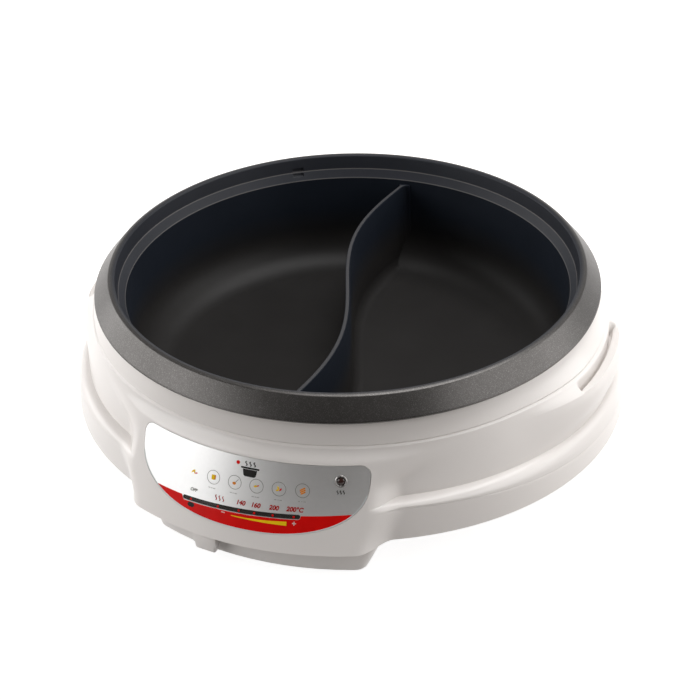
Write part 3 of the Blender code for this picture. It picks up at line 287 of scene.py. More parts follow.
def nonstick(name):
    """Smooth dark coating inside, and a greyer metallic one with very fine flecks on the rim."""
    made, shader, place = start(name, {"Specular IOR Level": 0.2})
    across, along, height = separate(place)
    along = math_node("SUBTRACT", along, axis_y)
    square = math_node("ADD", math_node("POWER", across, 2.0), math_node("POWER", along, 2.0))
    radius = math_node("SQRT", square)
    out = fade(radius, crest_inner_radius + 1.0 * MM, crest_inner_radius + 4.0 * MM)
    cells = add(place, "TexVoronoi", {"Vector": place, "Scale": 3400.0}, feature="F1")
    pick = add(place, "SeparateColor", {0: cells.outputs["Color"]}).outputs[0]
    fleck = times(ramp(pick, 0.0, 1.0, (0.78, 0.98)), out)
    cloud = noise(place, 30.0, 3.0)

    # Blue black up the inner wall and the divider, brown black on the floor and outside: the darker blue
    # black from 20 to 42 mm over the floor is painted shade
    lean = fade(height, ledge_foot_height, pan_floor, 0.0, pan_draft)
    upright = math_node("ADD", radius, lean)
    inside = fade(upright, ledge_inner_radius + 1.6 * MM, ledge_inner_radius + 0.8 * MM)
    rise = times(fade(height, pan_floor + 20.0 * MM, pan_floor + 42.0 * MM), inside)
    low = ramp(cloud, (0.0172, 0.0160, 0.0156), (0.0200, 0.0187, 0.0182))
    # The painted shade colour for the upper wall and divider
    high = ramp(cloud, (0.0088, 0.0118, 0.0182), (0.0106, 0.0140, 0.0212))
    ground = blend(rise, low, high)

    # Painted light: paler on the ledge and the short wall over it
    beyond = fade(radius, ledge_inner_radius - 0.8 * MM, ledge_inner_radius - 0.4 * MM)
    aloft = fade(height, ledge_foot_height - 0.3 * MM, ledge_foot_height)
    painted_ledge_light = ramp(cloud, (0.0215, 0.0232, 0.0288), (0.0246, 0.0264, 0.0326))
    ground = blend(times(beyond, aloft), ground, painted_ledge_light)

    # Painted highlights: light lines on the ledge's two edges and, fainter, along the divider's top
    ledge_foot_highlight = times(edge_mask(height, ledge_foot_height), beyond)
    beside = fade(radius, ledge_outer_radius - 1.4 * MM, ledge_outer_radius - 1.0 * MM)
    ledge_brow_highlight = times(edge_mask(height, ledge_brow_height), beside)
    crown = fade(height, divider_top_height - 0.3 * MM, divider_top_height - 0.05 * MM)
    within = fade(radius, ledge_inner_radius - 1.5 * MM, ledge_inner_radius - 2.5 * MM)
    divider_top_highlight = times(times(crown, within), 0.45)
    painted_highlights = math_node("MAXIMUM", math_node("MAXIMUM", ledge_foot_highlight, ledge_brow_highlight), divider_top_highlight)
    ground = blend(painted_highlights, ground, (0.100, 0.096, 0.096, 1.0))

    rim = ramp(cloud, (0.081, 0.077, 0.074), (0.094, 0.089, 0.086))
    ground = blend(out, ground, rim)
    uneven = fade(noise(place, 240.0), 0.0, 1.0, -0.04, 0.04)
    dress(shader, blend(times(fleck, 0.22), ground, (0.42, 0.41, 0.40, 1.0)),
          math_node("ADD", fade(out, 0.0, 1.0, 0.46, 0.35), uneven))
    wire(shader, "Metallic", fade(out, 0.0, 1.0, 0.0, 0.8))
    bump(shader, math_node("ADD", noise(place, 1800.0, 1.0), fleck), 0.05, 0.00006)
    return made


def silver_print(name):
    """Satin silver film with a faint mottle."""
    made, shader, place = start(name, {"Metallic": 0.9})
    grain = noise(place, 420.0, 3.0)
    dress(shader, ramp(grain, (0.86, 0.86, 0.855), (0.89, 0.89, 0.885), (0.2, 0.8)),
          ramp(grain, 0.40, 0.43, (0.2, 0.8)))
    bump(shader, grain, 0.01, 0.00003)
    return made


def ink(name, colour, roughness=0.35):
    """Screen printed ink, and the painted highlight along the panel's lower edge: slight unevenness of tone
    and gloss.
    """
    made, shader, place = start(name, {"Specular IOR Level": 0.15})
    darker = tuple(channel * 0.88 for channel in colour)
    dots = noise(place, 500.0, 1.0)
    dress(shader, ramp(noise(place, 90.0, 3.0), darker, colour),
          ramp(dots, roughness * 0.92, roughness * 1.08))
    bump(shader, dots, 0.01, 0.00003)
    return made


def plated(name, light, dark, roughness, stretch=(1.0, 1.0, 1.0)):
    """Bare or plated metal with drawn streaks."""
    made, shader, place = start(name, {"Metallic": 1.0})
    drawn = add(place, "Mapping", {"Vector": place, "Scale": stretch}).outputs[0]
    streak = noise(drawn, 220.0, 4.0)
    dress(shader, ramp(noise(place, 18.0, 3.0), dark, light),
          ramp(streak, roughness * 0.75, roughness * 1.25))
    bump(shader, streak, 0.06, 0.0001)
    return made


def smoked(name):
    """Smoked clear plastic."""
    made, shader, place = start(name, {"Transmission Weight": 0.65, "IOR": 1.49})
    dress(shader, ramp(noise(place, 60.0), (0.085, 0.078, 0.072), (0.115, 0.105, 0.098)),
          ramp(noise(place, 400.0), 0.12, 0.2))
    return made


def lens(name):
    """Dark reddish brown lamp lens with fine inner ribs."""
    made, shader, place = start(name, {"Transmission Weight": 0.25, "Coat Weight": 0.2})
    ribs = add(place, "TexWave", {"Vector": place, "Scale": 600.0, "Distortion": 1.0}).outputs["Fac"]
    dress(shader, ramp(ribs, (0.030, 0.012, 0.010), (0.075, 0.036, 0.030), (0.2, 0.8)),
          ramp(noise(place, 300.0), 0.08, 0.16))
    bump(shader, ribs, 0.1, 0.0001)
    return made


materials = {
    "white": moulded_plastic("warm_white_plastic", (0.832, 0.797, 0.771), (0.824, 0.788, 0.762),
                             0.28, 0.15, 0.01),
    "coating": nonstick("nonstick_coating"),
    "silver": silver_print("satin_silver_print"),
    # The pale line is a painted highlight along the panel's lower edge
    "edge_highlight": ink("painted_edge_highlight", (0.78, 0.82, 0.83), 0.3),
    "red": ink("red_ink", (0.74, 0.005, 0.004), 0.3),
    "numeral": ink("red_numeral_ink", (0.42, 0.004, 0.006), 0.4),
    "yellow": ink("yellow_ink", (0.95, 0.62, 0.01)),
    "orange": ink("orange_ink", (0.74, 0.24, 0.01)),
    "dark_ink": ink("dark_ink", (0.022, 0.021, 0.020), 0.4),
    "grey_ink": ink("grey_ink", (0.30, 0.29, 0.27), 0.4),
    "faint_ink": ink("faint_grey_ink", (0.46, 0.45, 0.44), 0.4),
    "pale_ink": ink("pale_ink", (0.80, 0.58, 0.56), 0.4),
    "window": smoked("smoked_window"),
    "lens": lens("lamp_lens"),
    "black": moulded_plastic("black_plastic", (0.030, 0.030, 0.031), (0.021, 0.021, 0.022), 0.42, 0.0, 0.12),
    "chrome": plated("satin_chrome", (0.40, 0.39, 0.38), (0.34, 0.33, 0.32), 0.42),
    "steel": plated("plated_steel", (0.62, 0.62, 0.60), (0.55, 0.55, 0.53), 0.34, (1.0, 1.0, 6.0)),
    "sheath": plated("heater_sheath", (0.21, 0.20, 0.19), (0.14, 0.125, 0.11), 0.45),
    "ceramic": moulded_plastic("unglazed_ceramic", (0.80, 0.77, 0.70), (0.74, 0.70, 0.62), 0.62, 0.0, 0.3),
    "brass": plated("turned_brass", (0.72, 0.55, 0.28), (0.62, 0.46, 0.22), 0.33),
    "rubber": moulded_plastic("black_rubber", 0.034, 0.024, 0.8, 0.0, 0.4),
    "pointer": moulded_plastic("red_plastic", (0.62, 0.045, 0.028), (0.54, 0.035, 0.022), 0.35, 0.0),
}

node_finishes = {
    "white": ["body_shell", "base_tray", "slide_knob"],
    "coating": ["pot"],
    "silver": ["fascia_panel"],
    "window": ["dial_window"],
    "lens": ["pilot_lamp"],
    "black": ["lamp_holder", "thermostat_body", "inlet_socket"],
    "steel": ["reflector_bowl", "heater_saddle_front", "heater_saddle_left", "heater_saddle_right",
              "sensor_button", "sensor_spring", *("tray_screw_%d" % i for i in range(1, 5)),
              "thermal_fuse", "lever_arm"],
    "sheath": ["heater_element"],
    "ceramic": ["heater_bush_left", "heater_bush_right", "terminal_block"],
    "brass": ["cam_spindle", "inlet_pin_line", "inlet_pin_earth", "inlet_pin_neutral"],
    "rubber": ["foot_front_right", "foot_rear_right", "foot_rear_left", "foot_front_left"],
    "pointer": ["pointer"],
}
own_shapes = ("body_shell", "pot", "fascia_panel", "dial_window")


# Mesh helpers

def link(name, data):
    obj = bpy.data.objects.new(name, data)
    bpy.context.scene.collection.objects.link(obj)
    return obj


def smooth(mesh, angle=35.0):
    mesh.shade_smooth()
    mesh.set_sharp_from_angle(angle=radians(angle))


def finished(work, mesh):
    """Turn the faces outwards and write them to a mesh, or to a new one if a name is given."""
    bmesh.ops.recalc_face_normals(work, faces=work.faces)
    if isinstance(mesh, str):
        mesh = bpy.data.meshes.new(mesh)
    work.to_mesh(mesh)
    work.free()
    return mesh


def welded(mesh):
    """The mesh in a workspace, with its double points joined."""
    work = bmesh.new()
    work.from_mesh(mesh)
    bmesh.ops.remove_doubles(work, verts=work.verts, dist=weld_distance)
    return work


def evaluated(obj):
    """The mesh that the object's modifiers or curve give; the object itself goes."""
    bpy.context.view_layer.update()
    mesh = bpy.data.meshes.new_from_object(obj.evaluated_get(bpy.context.evaluated_depsgraph_get()))
    bpy.data.objects.remove(obj)
    return mesh


def piece(name, mesh, finish, body="base"):
    obj = link(name, mesh)
    mesh.materials.clear()
    mesh.materials.append(materials[finish])
    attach(obj, body)
    return obj


def smooth_copy(node, finish):
    """The node's own shape, welded and shaded smooth, in place of the faceted one."""
    source = frame["nodes"][node]
    mesh = source.data.copy()
    finished(welded(mesh), mesh)
    if "custom_normal" in mesh.attributes:
        mesh.attributes.remove(mesh.attributes["custom_normal"])
    smooth(mesh)
    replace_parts(piece(node + "_skin", mesh, finish, source["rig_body"]), node)


for finish, names in node_finishes.items():
    for name in names:
        for slot in frame["nodes"][name].material_slots:
            slot.material = materials[finish]
        if name not in own_shapes:
            smooth_copy(name, finish)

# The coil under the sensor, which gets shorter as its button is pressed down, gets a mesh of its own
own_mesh(bpy.data.objects["sensor_spring_skin"])


# Profiles and surfaces

def round_axis(radius, azimuth, height):
    """The place at a radius and azimuth round the pan's axis."""
    return Vector((radius * sin(azimuth), axis_y - radius * cos(azimuth), height))


def turn_about_axis(azimuth):
    """Turns what was built round the origin to an azimuth round the pan's axis."""
    return Matrix.Translation((0.0, axis_y, 0.0)) @ Matrix.Rotation(azimuth, 4, "Z")


def rounded_path(corners, segments=6):
    """A path of (radius, height, fillet) corners with each corner rounded."""
    path = [corners[0][:2]]
    for before, corner, after in zip(corners, corners[1:], corners[2:]):
        here = Vector(corner[:2])
        back = Vector(before[:2]) - here
        ahead = Vector(after[:2]) - here
        half = back.angle(ahead) / 2
        if corner[2] <= 0.0 or half > radians(89):
            path.append(tuple(here))
            continue
        reach = min(corner[2] / tan(half), back.length * 0.49, ahead.length * 0.49)
        radius = reach * tan(half)
        middle = here + (back.normalized() + ahead.normalized()).normalized() * (radius / sin(half))
        first = here + back.normalized() * reach - middle
        last = here + ahead.normalized() * reach - middle
        turn = first.angle_signed(last)
        for i in range(segments + 1):
            angle = -turn * i / segments
            c, t = cos(angle), sin(angle)
            spot = middle + Vector((first.x * c - first.y * t, first.x * t + first.y * c))
            path.append(tuple(spot))
    path.append(corners[-1][:2])
    return path


def revolved(name, path, steps):
    """Turn a path whose ends lie on the pan's axis into a closed body."""
    work = bmesh.new()
    loops = []
    for radius, height in path:
        count = 1 if radius < weld_distance else steps
        loops.append([work.verts.new(round_axis(radius if count > 1 else 0.0, tau * i / steps, height))
                      for i in range(count)])
    for near, far in zip(loops, loops[1:]):
        for i in range(steps):
            j = (i + 1) % steps
            corners = [near[i % len(near)], near[j % len(near)], far[j % len(far)], far[i % len(far)]]
            work.faces.new(list(dict.fromkeys(corners)))
    return finished(work, name)


def lofted(name, loops, ring=False):
    """Join closed loops of as many points, and cap both ends or join them in a ring."""
    work = bmesh.new()
    made = [[work.verts.new(point) for point in loop] for loop in loops]
    for near, far in zip(made, made[1:] + made[:ring]):
        for i in range(len(near)):
            j = (i + 1) % len(near)
            work.faces.new((near[i], near[j], far[j], far[i]))
    if not ring:
        work.faces.new(made[0])
        work.faces.new(list(reversed(made[-1])))
    return finished(work, name)


def combined(name, mesh, changes):
    """Apply booleans one after another and return the new mesh."""
    obj = link(name, mesh)
    for operation, other in changes:
        change = obj.modifiers.new(operation.lower(), "BOOLEAN")
        change.operation = operation
        change.object = other
        change.solver = "MANIFOLD"
    made = evaluated(obj)
    for _, other in changes:
        bpy.data.objects.remove(other)
    return made


# Pan

def divider_centre(share):
    chord = Vector((-sin(divider_yaw), cos(divider_yaw)))
    side = Vector((cos(divider_yaw), sin(divider_yaw)))
    return chord * (share * ledge_inner_radius) - side * (divider_sway * sin(pi * share))


def fillet_share(share):
    """How far a round fillet stands out, from one at its foot to nought at its end."""
    return 1.0 - sqrt(1.0 - share * share)


def divider_half(share, height):
    top = divider_top_height
    half = divider_top_half + divider_draft * (top - height) / (top - pan_floor)
    foot = max(0.0, 1.0 - max(0.0, height - pan_floor) / divider_foot_fillet)
    end = min(1.0, max(0.0, 1.0 - (1.0 - abs(share)) * ledge_inner_radius / divider_end_fillet))
    crown = max(0.0, 1.0 - (top - height) / divider_crown)
    half += divider_foot_fillet * fillet_share(foot) + divider_end_fillet * fillet_share(end)
    return half - divider_crown * fillet_share(crown)


def pan_path():
    wall_foot = ledge_inner_radius - pan_draft
    return rounded_path([
        (0.0, pan_floor, 0.0),
        (wall_foot, pan_floor, pan_corner_radius),
        (ledge_inner_radius, ledge_foot_height, 0.9 * MM),
        (ledge_outer_radius, ledge_brow_height, 0.9 * MM),
        (crest_inner_radius, crest_height + 1.0 * MM, 1.3 * MM),
        (crest_inner_radius + crest_width * 0.5, crest_height + crest_rise, 2.0 * MM),
        (crest_inner_radius + crest_width, crest_height + crest_rise * 0.6, 2.0 * MM),
        (rim_radius - 0.35 * MM, rim_edge_height + 1.7 * MM, 0.5 * MM),
        (rim_radius, rim_edge_height + 0.9 * MM, 0.4 * MM),
        (rim_radius - 0.3 * MM, rim_edge_height, 0.3 * MM),
        (rim_radius - 3.3 * MM, rim_edge_height, 0.4 * MM),
        (crest_inner_radius + pan_wall, crest_height - 3.0 * MM, 2.0 * MM),
        (ledge_outer_radius + pan_wall, ledge_brow_height - 1.5 * MM, 1.0 * MM),
        (ledge_inner_radius + pan_wall, ledge_foot_height - 1.5 * MM, 1.0 * MM),
        (wall_foot + pan_wall, pan_bottom, pan_corner_radius + pan_wall),
        (0.0, pan_bottom, 0.0),
    ], 8)


def make_divider():
    """The S-shaped wall, which bites a little into the pan's wall and floor."""
    rises = (0.0, 0.04, 0.1, 0.18, 0.28, 0.4, 0.55, 0.75, 1.0)
    heights = [pan_floor - divider_bite] + [pan_floor + divider_foot_fillet * rise for rise in rises]
    heights += [divider_top_height - divider_crown * share for share in (1.0, 0.6, 0.3, 0.1, 0.0)]
    over = 1.0 + pan_wall / ledge_inner_radius
    ends = [1.0 - divider_end_fillet * i / 8 / ledge_inner_radius for i in range(9)]
    inner = [ends[-1] * (1.0 - 2.0 * i / 90) for i in range(1, 90)]
    loops = []
    for share in [over] + ends + inner + [-share for share in reversed(ends)] + [-over]:
        here = divider_centre(share)
        ahead = divider_centre(share + 0.01) - divider_centre(share - 0.01)
        normal = Vector((ahead.y, -ahead.x)).normalized()
        loop = []
        for side, column in ((1, heights), (-1, reversed(heights))):
            for height in column:
                spot = here + normal * (side * divider_half(share, height))
                loop.append((spot.x, spot.y + axis_y, height))
        loops.append(loop)
    reach = ledge_inner_radius + divider_bite
    low = pan_floor - divider_bite
    hollow = [(0.0, crest_height, 0.0), (reach, crest_height, 0.0), (reach, ledge_foot_height, 0.0),
              (reach - pan_draft, low, pan_corner_radius + divider_bite), (0.0, low, 0.0)]
    trim = link("trim", revolved("trim", rounded_path(hollow, 8), 128))
    return combined("divider_cut", lofted("divider", loops), [("INTERSECT", trim)])


def make_notch(azimuth):
    """A pocket on the ledge and another just over it, at an azimuth."""
    foot = Vector((0.0, -ledge_inner_radius, ledge_foot_height))
    edge = Vector((0.0, -ledge_outer_radius, ledge_brow_height))
    slope = atan2(edge.z - foot.z, foot.y - edge.y)
    on_ledge = (Matrix.Translation((foot + edge) / 2) @ Matrix.Rotation(-slope, 4, "X")
                @ Matrix.Translation((0.0, -notch_size.y * 0.4, 0.0)))
    on_wall = Matrix.Translation(edge + Vector((0.0, -notch_size.z * 0.35, notch_size.y * 0.62)))
    work = bmesh.new()
    for place, size in ((on_ledge, notch_size), (on_wall, notch_size.xzy)):
        bmesh.ops.create_cube(work, size=1.0, matrix=place @ Matrix.Diagonal((*size, 1.0)))
    notch = link("notch", finished(work, "notch"))
    notch.matrix_world = turn_about_axis(azimuth)
    soften = notch.modifiers.new("soften", "BEVEL")
    soften.width = 0.5 * MM
    soften.segments = 2
    return notch


def make_pan():
    changes = [("UNION", link("divider", make_divider()))]
    changes += [("DIFFERENCE", make_notch(azimuth)) for azimuth in notch_azimuths]
    mesh = combined("pan", revolved("pan", pan_path(), 288), changes)
    smooth(mesh, 32.0)
    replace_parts(piece("pan_skin", mesh, "coating", "pan"), "pot")


# Body shell

def smoothstep(low, high, value):
    share = min(1.0, max(0.0, (value - low) / (high - low)))
    return share * share * (3.0 - 2.0 * share)


def face_radius(height):
    """The radius of the console's face at a height."""
    share = (height - console_foot_height) / (console_brow_height - console_foot_height)
    return console_foot_radius + (console_brow_radius - console_foot_radius) * share


def console_share(azimuth, height):
    """How far the shell follows the console's face: its flanks are steep low down and fade out above."""
    reach = console_right_angle if azimuth > 0.0 else console_left_angle
    climb = smoothstep(console_foot_height, shoulder_edge_height, height)
    edge = console_foot_angle + (reach - console_foot_angle) * climb
    fade_out = console_fade * smoothstep(console_fade_from, console_brow_height, height)
    flank = 1.0 - smoothstep(edge - console_flank, edge + console_flank + 2.0 * fade_out, abs(azimuth))
    return flank * (1.0 - smoothstep(crease_height - console_blend_height, crease_height, height))


def grip_share(azimuth, near, far):
    """One close to a hand slot's middle, falling to nought between two angles from it."""
    return 1.0 - smoothstep(near, far, abs(abs(azimuth) - grip_azimuth))


def oval(azimuth, height):
    """How much narrower front to back and wider across the shell gets below its collar."""
    below = 2.0 * (collar_top_height - height) / (collar_top_height - console_foot_height)
    return 1.0 - oval_share * min(1.0, max(0.0, below)) * cos(2.0 * azimuth)


def shoulder_drop(azimuth):
    """How much taller the roll above the skirt grows towards the sides."""
    away = min(abs(azimuth), pi - abs(azimuth))
    return shoulder_sag * smoothstep(shoulder_sag_from, shoulder_sag_to, away)


def spline_profile(rings, steps):
    """Pass a smooth curve through rings of (radius, height, swell, drop, sag)."""
    made = []
    last = len(rings) - 1
    for i in range(last):
        near = (rings[max(0, i - 1)], rings[i], rings[i + 1], rings[min(last, i + 2)])
        for t in (k / steps for k in range(steps)):
            made.append(tuple(0.5 * (2 * b + (c - a) * t + (2 * a - 5 * b + 4 * c - d) * t * t
                                     + (3 * b - a - 3 * c + d) * t ** 3) for a, b, c, d in zip(*near)))
    made.append(rings[-1])
    return made


def shell_rows():
    """Rows of the shell from its inner lip to its foot, in three parts: the hand slot takes the second."""
    top = collar_top_height
    collar_foot = (rim_radius - 4.8 * MM, top - 1.2 * MM, 0.0, 0.0)
    tall = top - crease_height
    band = crease_height - valley_height
    out = valley_radius - crease_radius
    step = shoulder_radius - valley_radius

    def on_band(across, down, swell, drop):
        return crease_radius + out * across, crease_height - band * down, swell, drop

    def on_roll(across, down, swell, sag):
        return valley_radius + step * across, valley_height - shoulder_height * down, swell, 0.0, sag

    def on_edge(outward, up, sag):
        return shoulder_radius + outward * MM, shoulder_edge_height + up * MM, 0.0, 0.0, sag

    upper = [(collar_lip_radius, top - 0.8 * MM, 0.0, 0.0),
             (collar_lip_radius + 0.8 * MM, top, 0.0, 0.0),
             (rim_radius - 6.0 * MM, top, 0.0, 0.0)]
    upper += spline_profile([
        collar_foot,
        (crease_radius - 4.2 * MM, crease_height + tall * 0.74, 0.0, 0.0),
        (crease_radius - 2.6 * MM, crease_height + tall * 0.44, 0.08, 0.05),
        (crease_radius - 0.8 * MM, crease_height + 2.2 * MM, 0.27, 0.22),
        (crease_radius - 0.4 * MM, crease_height + 0.8 * MM, 0.32, 0.3)], 5)[:-1]
    upper.append((crease_radius - 0.9 * MM, crease_height, 0.33, 0.36))
    upper += spline_profile([
        (crease_radius + 0.1 * MM, crease_height - 0.6 * MM, 0.34, 0.4),
        on_band(0.12, 0.03, 0.36, 0.5)], 4)
    slope = [on_band(0.12 + 0.18 * t, 0.03 + 0.16 * t,
                     0.36 + 0.64 * smoothstep(-0.15, 1.15, t), 0.5 + 0.2 * t)
             for t in (i / grip_slot_steps for i in range(1, grip_slot_steps))]
    lower = spline_profile([
        on_band(0.30, 0.19, 1.0, 0.7), on_band(0.50, 0.38, 1.02, 0.35), on_band(0.78, 0.66, 0.74, 0.0),
        on_band(0.96, 0.88, 0.36, 0.0), (valley_radius, valley_height, 0.2, 0.0)], 5)[:-1]
    lower += spline_profile([
        on_roll(0.0, 0.0, 0.2, 0.0), on_roll(0.36, 0.10, 0.12, 0.07), on_roll(0.70, 0.32, 0.05, 0.24),
        on_roll(0.93, 0.62, 0.0, 0.58), on_edge(0.0, 0.7, 1.0)], 5)
    lower += [on_edge(-0.45, 0.0, 1.0), on_edge(0.0, -0.7, 1.0)]
    lower += spline_profile([
        on_edge(0.05, -1.4, 1.0), on_edge(0.25, -6.0, 0.7),
        (skirt_foot_radius, console_foot_height, 0.0, 0.0, 0.0)], 4)
    return upper, slope, lower


def shell_point(row, azimuth):
    radius, height, swell, drop = row[:4]
    if len(row) > 4:
        height -= shoulder_drop(azimuth) * row[4]
    grip = grip_share(azimuth, grip_flat, grip_flat + grip_fade)
    radius = radius * oval(azimuth, height) + grip_swell * swell * grip
    radius += (face_radius(height) - radius) * console_share(azimuth, height)
    return radius, height - grip_drop * drop * grip


def between(first, second, share):
    return tuple(a + (b - a) * share for a, b in zip(first, second))


def slot_path(inner, outer):
    """The hand slot's section between its inner and outer edge, in as many points as the slope has."""
    low = grip_slot_floor
    path = rounded_path([
        (inner[0], inner[1], 0.0),
        (inner[0] + 0.3 * MM, inner[1] - 0.5 * MM, 0.5 * MM),
        (inner[0] + 0.6 * MM, low, 2.4 * MM),
        (grip_slot_outer, low, 2.4 * MM),
        (grip_slot_outer + 0.3 * MM, outer[1] + 0.4 * MM, 1.2 * MM),
        (outer[0], outer[1], 0.0)], 4)
    lengths = [0.0]
    for a, b in zip(path, path[1:]):
        lengths.append(lengths[-1] + dist(a, b))
    made = []
    for i in range(1, grip_slot_steps):
        want = lengths[-1] * i / grip_slot_steps
        k = max(j for j in range(len(lengths) - 1) if lengths[j] <= want)
        made.append(between(path[k], path[k + 1], (want - lengths[k]) / (lengths[k + 1] - lengths[k])))
    return made


def shell_section(azimuth, rows):
    top, slope, foot = ([shell_point(row, azimuth) for row in part] for part in rows)
    share = grip_share(azimuth, grip_half_angle - slot_end, grip_half_angle)
    if share > 0.0:
        slope = [between(a, b, share) for a, b in zip(slope, slot_path(top[-1], foot[0]))]
    return top + slope + foot


def shell_azimuths():
    """Even steps, with closer ones on the console's flanks and where the hand slots end."""
    made = [tau * i / shell_steps - pi for i in range(shell_steps)]
    made += [radians(a / 3) for a in (*range(-105, -72), *range(72, 120))]
    for side in (-1, 1):
        for end in (-1, 1):
            edge = side * grip_azimuth + end * (grip_half_angle - slot_end / 2)
            made += [edge + slot_end * (i / 10 - 0.55) for i in range(12)]
    return sorted(set(round(a, 6) for a in made))


def block(name, low, high):
    """A box between two corners."""
    work = bmesh.new()
    bmesh.ops.create_cube(work, size=1.0)
    for vertex in work.verts:
        vertex.co = [b if side > 0.0 else a for side, a, b in zip(vertex.co, low, high)]
    return finished(work, name)


def make_shell():
    rows = shell_rows()
    work = bmesh.new()
    outer = [[work.verts.new(round_axis(radius, azimuth, height))
              for radius, height in shell_section(azimuth, rows)] for azimuth in shell_azimuths()]
    steps = range(len(outer[0]) - 1)
    for near, far in zip(outer, outer[1:] + outer[:1]):
        for k in steps:
            work.faces.new((near[k], near[k + 1], far[k + 1], far[k]))
    work.normal_update()
    inner = []
    for column in outer:
        foot = column[-1].co
        ways = [vertex.normal for vertex in column[:-1]]
        ways.append(Vector((foot.x, foot.y - axis_y, 0.0)).normalized())
        inner.append([vertex.co - way * shell_skin for vertex, way in zip(column, ways)])
    inner = [[work.verts.new(spot) for spot in column] for column in inner]
    columns = list(zip(outer, inner))
    for (out_near, near), (out_far, far) in zip(columns, columns[1:] + columns[:1]):
        for k in steps:
            work.faces.new((near[k], far[k], far[k + 1], near[k + 1]))
        work.faces.new((out_near[0], out_far[0], far[0], near[0]))
        work.faces.new((out_near[-1], near[-1], far[-1], out_far[-1]))
    mesh = finished(work, "shell")
    low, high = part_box("inlet_socket")
    cutters = {
        "seat": draped("seat", [fascia_outline(-fit_gap)], -1.0 * MM, 2.0 * MM),
        "slot": draped("slot", [stadium(0.0)], -6.0 * MM, 2.0 * MM),
        "lamp_hole": lamp_hole(),
        "inlet_cut": block("inlet_cut", low - Vector((fit_gap, fit_gap, fit_gap)),
                           high + Vector((fit_gap, 20.0 * MM, fit_gap))),
    }
    mesh = combined("shell", mesh, [("DIFFERENCE", link(name, cutter)) for name, cutter in cutters.items()])
    smooth(mesh, 40.0)
    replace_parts(piece("body_skin", mesh, "white"), "body_shell")


# Pieces on the console's face

def flat_curve(name, loops, half_thickness):
    """A filled flat shape from one or more closed outlines; inner ones are holes."""
    curve = bpy.data.curves.new(name, "CURVE")
    curve.dimensions = "2D"
    curve.fill_mode = "BOTH"
    curve.extrude = half_thickness
    for loop in loops:
        spline = curve.splines.new("POLY")
        spline.points.add(len(loop) - 1)
        for point, (u, v) in zip(spline.points, loop):
            point.co = (u, v, 0.0, 1.0)
        spline.use_cyclic_u = True
    return curve


def text_curve(name, words, size, shear):
    curve = bpy.data.curves.new(name, "FONT")
    curve.body = words
    curve.size = size
    curve.shear = shear
    curve.align_x = "CENTER"
    curve.align_y = "CENTER"
    curve.extrude = print_half_thickness
    curve.offset = size * 0.035
    curve.resolution_u = 6
    return curve


def to_mesh(name, curve):
    """Turn a curve into one welded mesh, cut in slices so that it can follow the face."""
    mesh = evaluated(link(name + "_curve", curve))
    work = welded(mesh)
    low = min(vertex.co.x for vertex in work.verts)
    high = max(vertex.co.x for vertex in work.verts)
    cut = low + slice_length
    while cut < high:
        bmesh.ops.bisect_plane(work, geom=work.verts[:] + work.edges[:] + work.faces[:],
                               plane_co=(cut, 0.0, 0.0), plane_no=(1.0, 0.0, 0.0))
        cut += slice_length
    return finished(work, mesh)


def on_face(u, v, w, azimuth, height):
    """Wrap a flat point round the console's face, centred at an azimuth and a height."""
    high = height + v * cos(console_lean)
    radius = face_radius(high) + (w + print_lift) / cos(console_lean)
    return round_axis(radius, azimuth + u / face_radius(height), high)


def wrapped(name, curve, azimuth, height, finish, lift=0.0, tilt=0.0):
    """Print a flat curve on the face, at an azimuth in degrees on a line that may rise to the right."""
    azimuth = radians(azimuth)
    height += tilt * face_radius(height) * sin(azimuth)
    mesh = to_mesh(name, curve)
    for vertex in mesh.vertices:
        u, v, w = vertex.co
        vertex.co = on_face(u, v, w + lift, azimuth, height)
    piece(name, mesh, finish)


def mark(name, loops, *place, **more):
    """Print a shape of outlines in millimetres."""
    loops = [[(u * MM, v * MM) for u, v in loop] for loop in loops]
    wrapped(name, flat_curve(name, loops, print_half_thickness), *place, **more)


def draped(name, loops, low, high):
    """A plate over outlines of (x, height), laid straight back onto the face between two lifts."""
    mesh = to_mesh(name, flat_curve(name, loops, (high - low) / 2))
    for vertex in mesh.vertices:
        x, tall, w = vertex.co
        radius = face_radius(tall) + (w + (low + high) / 2) / cos(console_lean)
        vertex.co = (x, axis_y - sqrt(radius * radius - x * x), tall)
    return mesh


def draped_film(name, loop, finish, lift=0.0):
    middle = print_lift + lift
    piece(name, draped(name, [loop], middle - print_half_thickness, middle + print_half_thickness), finish)


def face_normal(spot):
    """The outward normal of the console's face at a place."""
    across = Vector((spot.x, spot.y - axis_y, 0.0)).normalized()
    return across * cos(console_lean) + Vector((0.0, 0.0, sin(console_lean)))


def face_plate(name, loops, low, high, finish, node):
    """A plate in the face, shaded with the cone's own normals on its front."""
    mesh = draped(name, loops, low, high)
    mesh.shade_smooth()
    normals = []
    for polygon in mesh.polygons:
        front = polygon.normal.dot(face_normal(polygon.center)) > 0.8
        for index in polygon.loop_indices:
            corner = mesh.vertices[mesh.loops[index].vertex_index].co
            normals.append(face_normal(corner) if front else polygon.normal.copy())
    mesh.normals_split_custom_set(normals)
    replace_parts(piece(name, mesh, finish), node)


def lamp_hole():
    """A pin through the face where the lamp sits."""
    work = bmesh.new()
    radius = lamp_radius + fit_gap
    bmesh.ops.create_cone(work, cap_ends=True, segments=40, radius1=radius, radius2=radius, depth=16.0 * MM)
    mesh = finished(work, "lamp_hole")
    turn = Matrix.Rotation(lamp_azimuth, 4, "Z") @ Matrix.Rotation(pi / 2 - console_lean, 4, "X")
    mesh.transform(Matrix.Translation(on_face(0.0, 0.0, 0.0, lamp_azimuth, lamp_height)) @ turn)
    return mesh


def lamp_outline(radius):
    """The lamp's round hole as (x, height) points."""
    spots = (on_face(u, v, 0.0, lamp_azimuth, lamp_height) for u, v in circle(radius, 40))
    return [(spot.x, spot.z) for spot in spots]


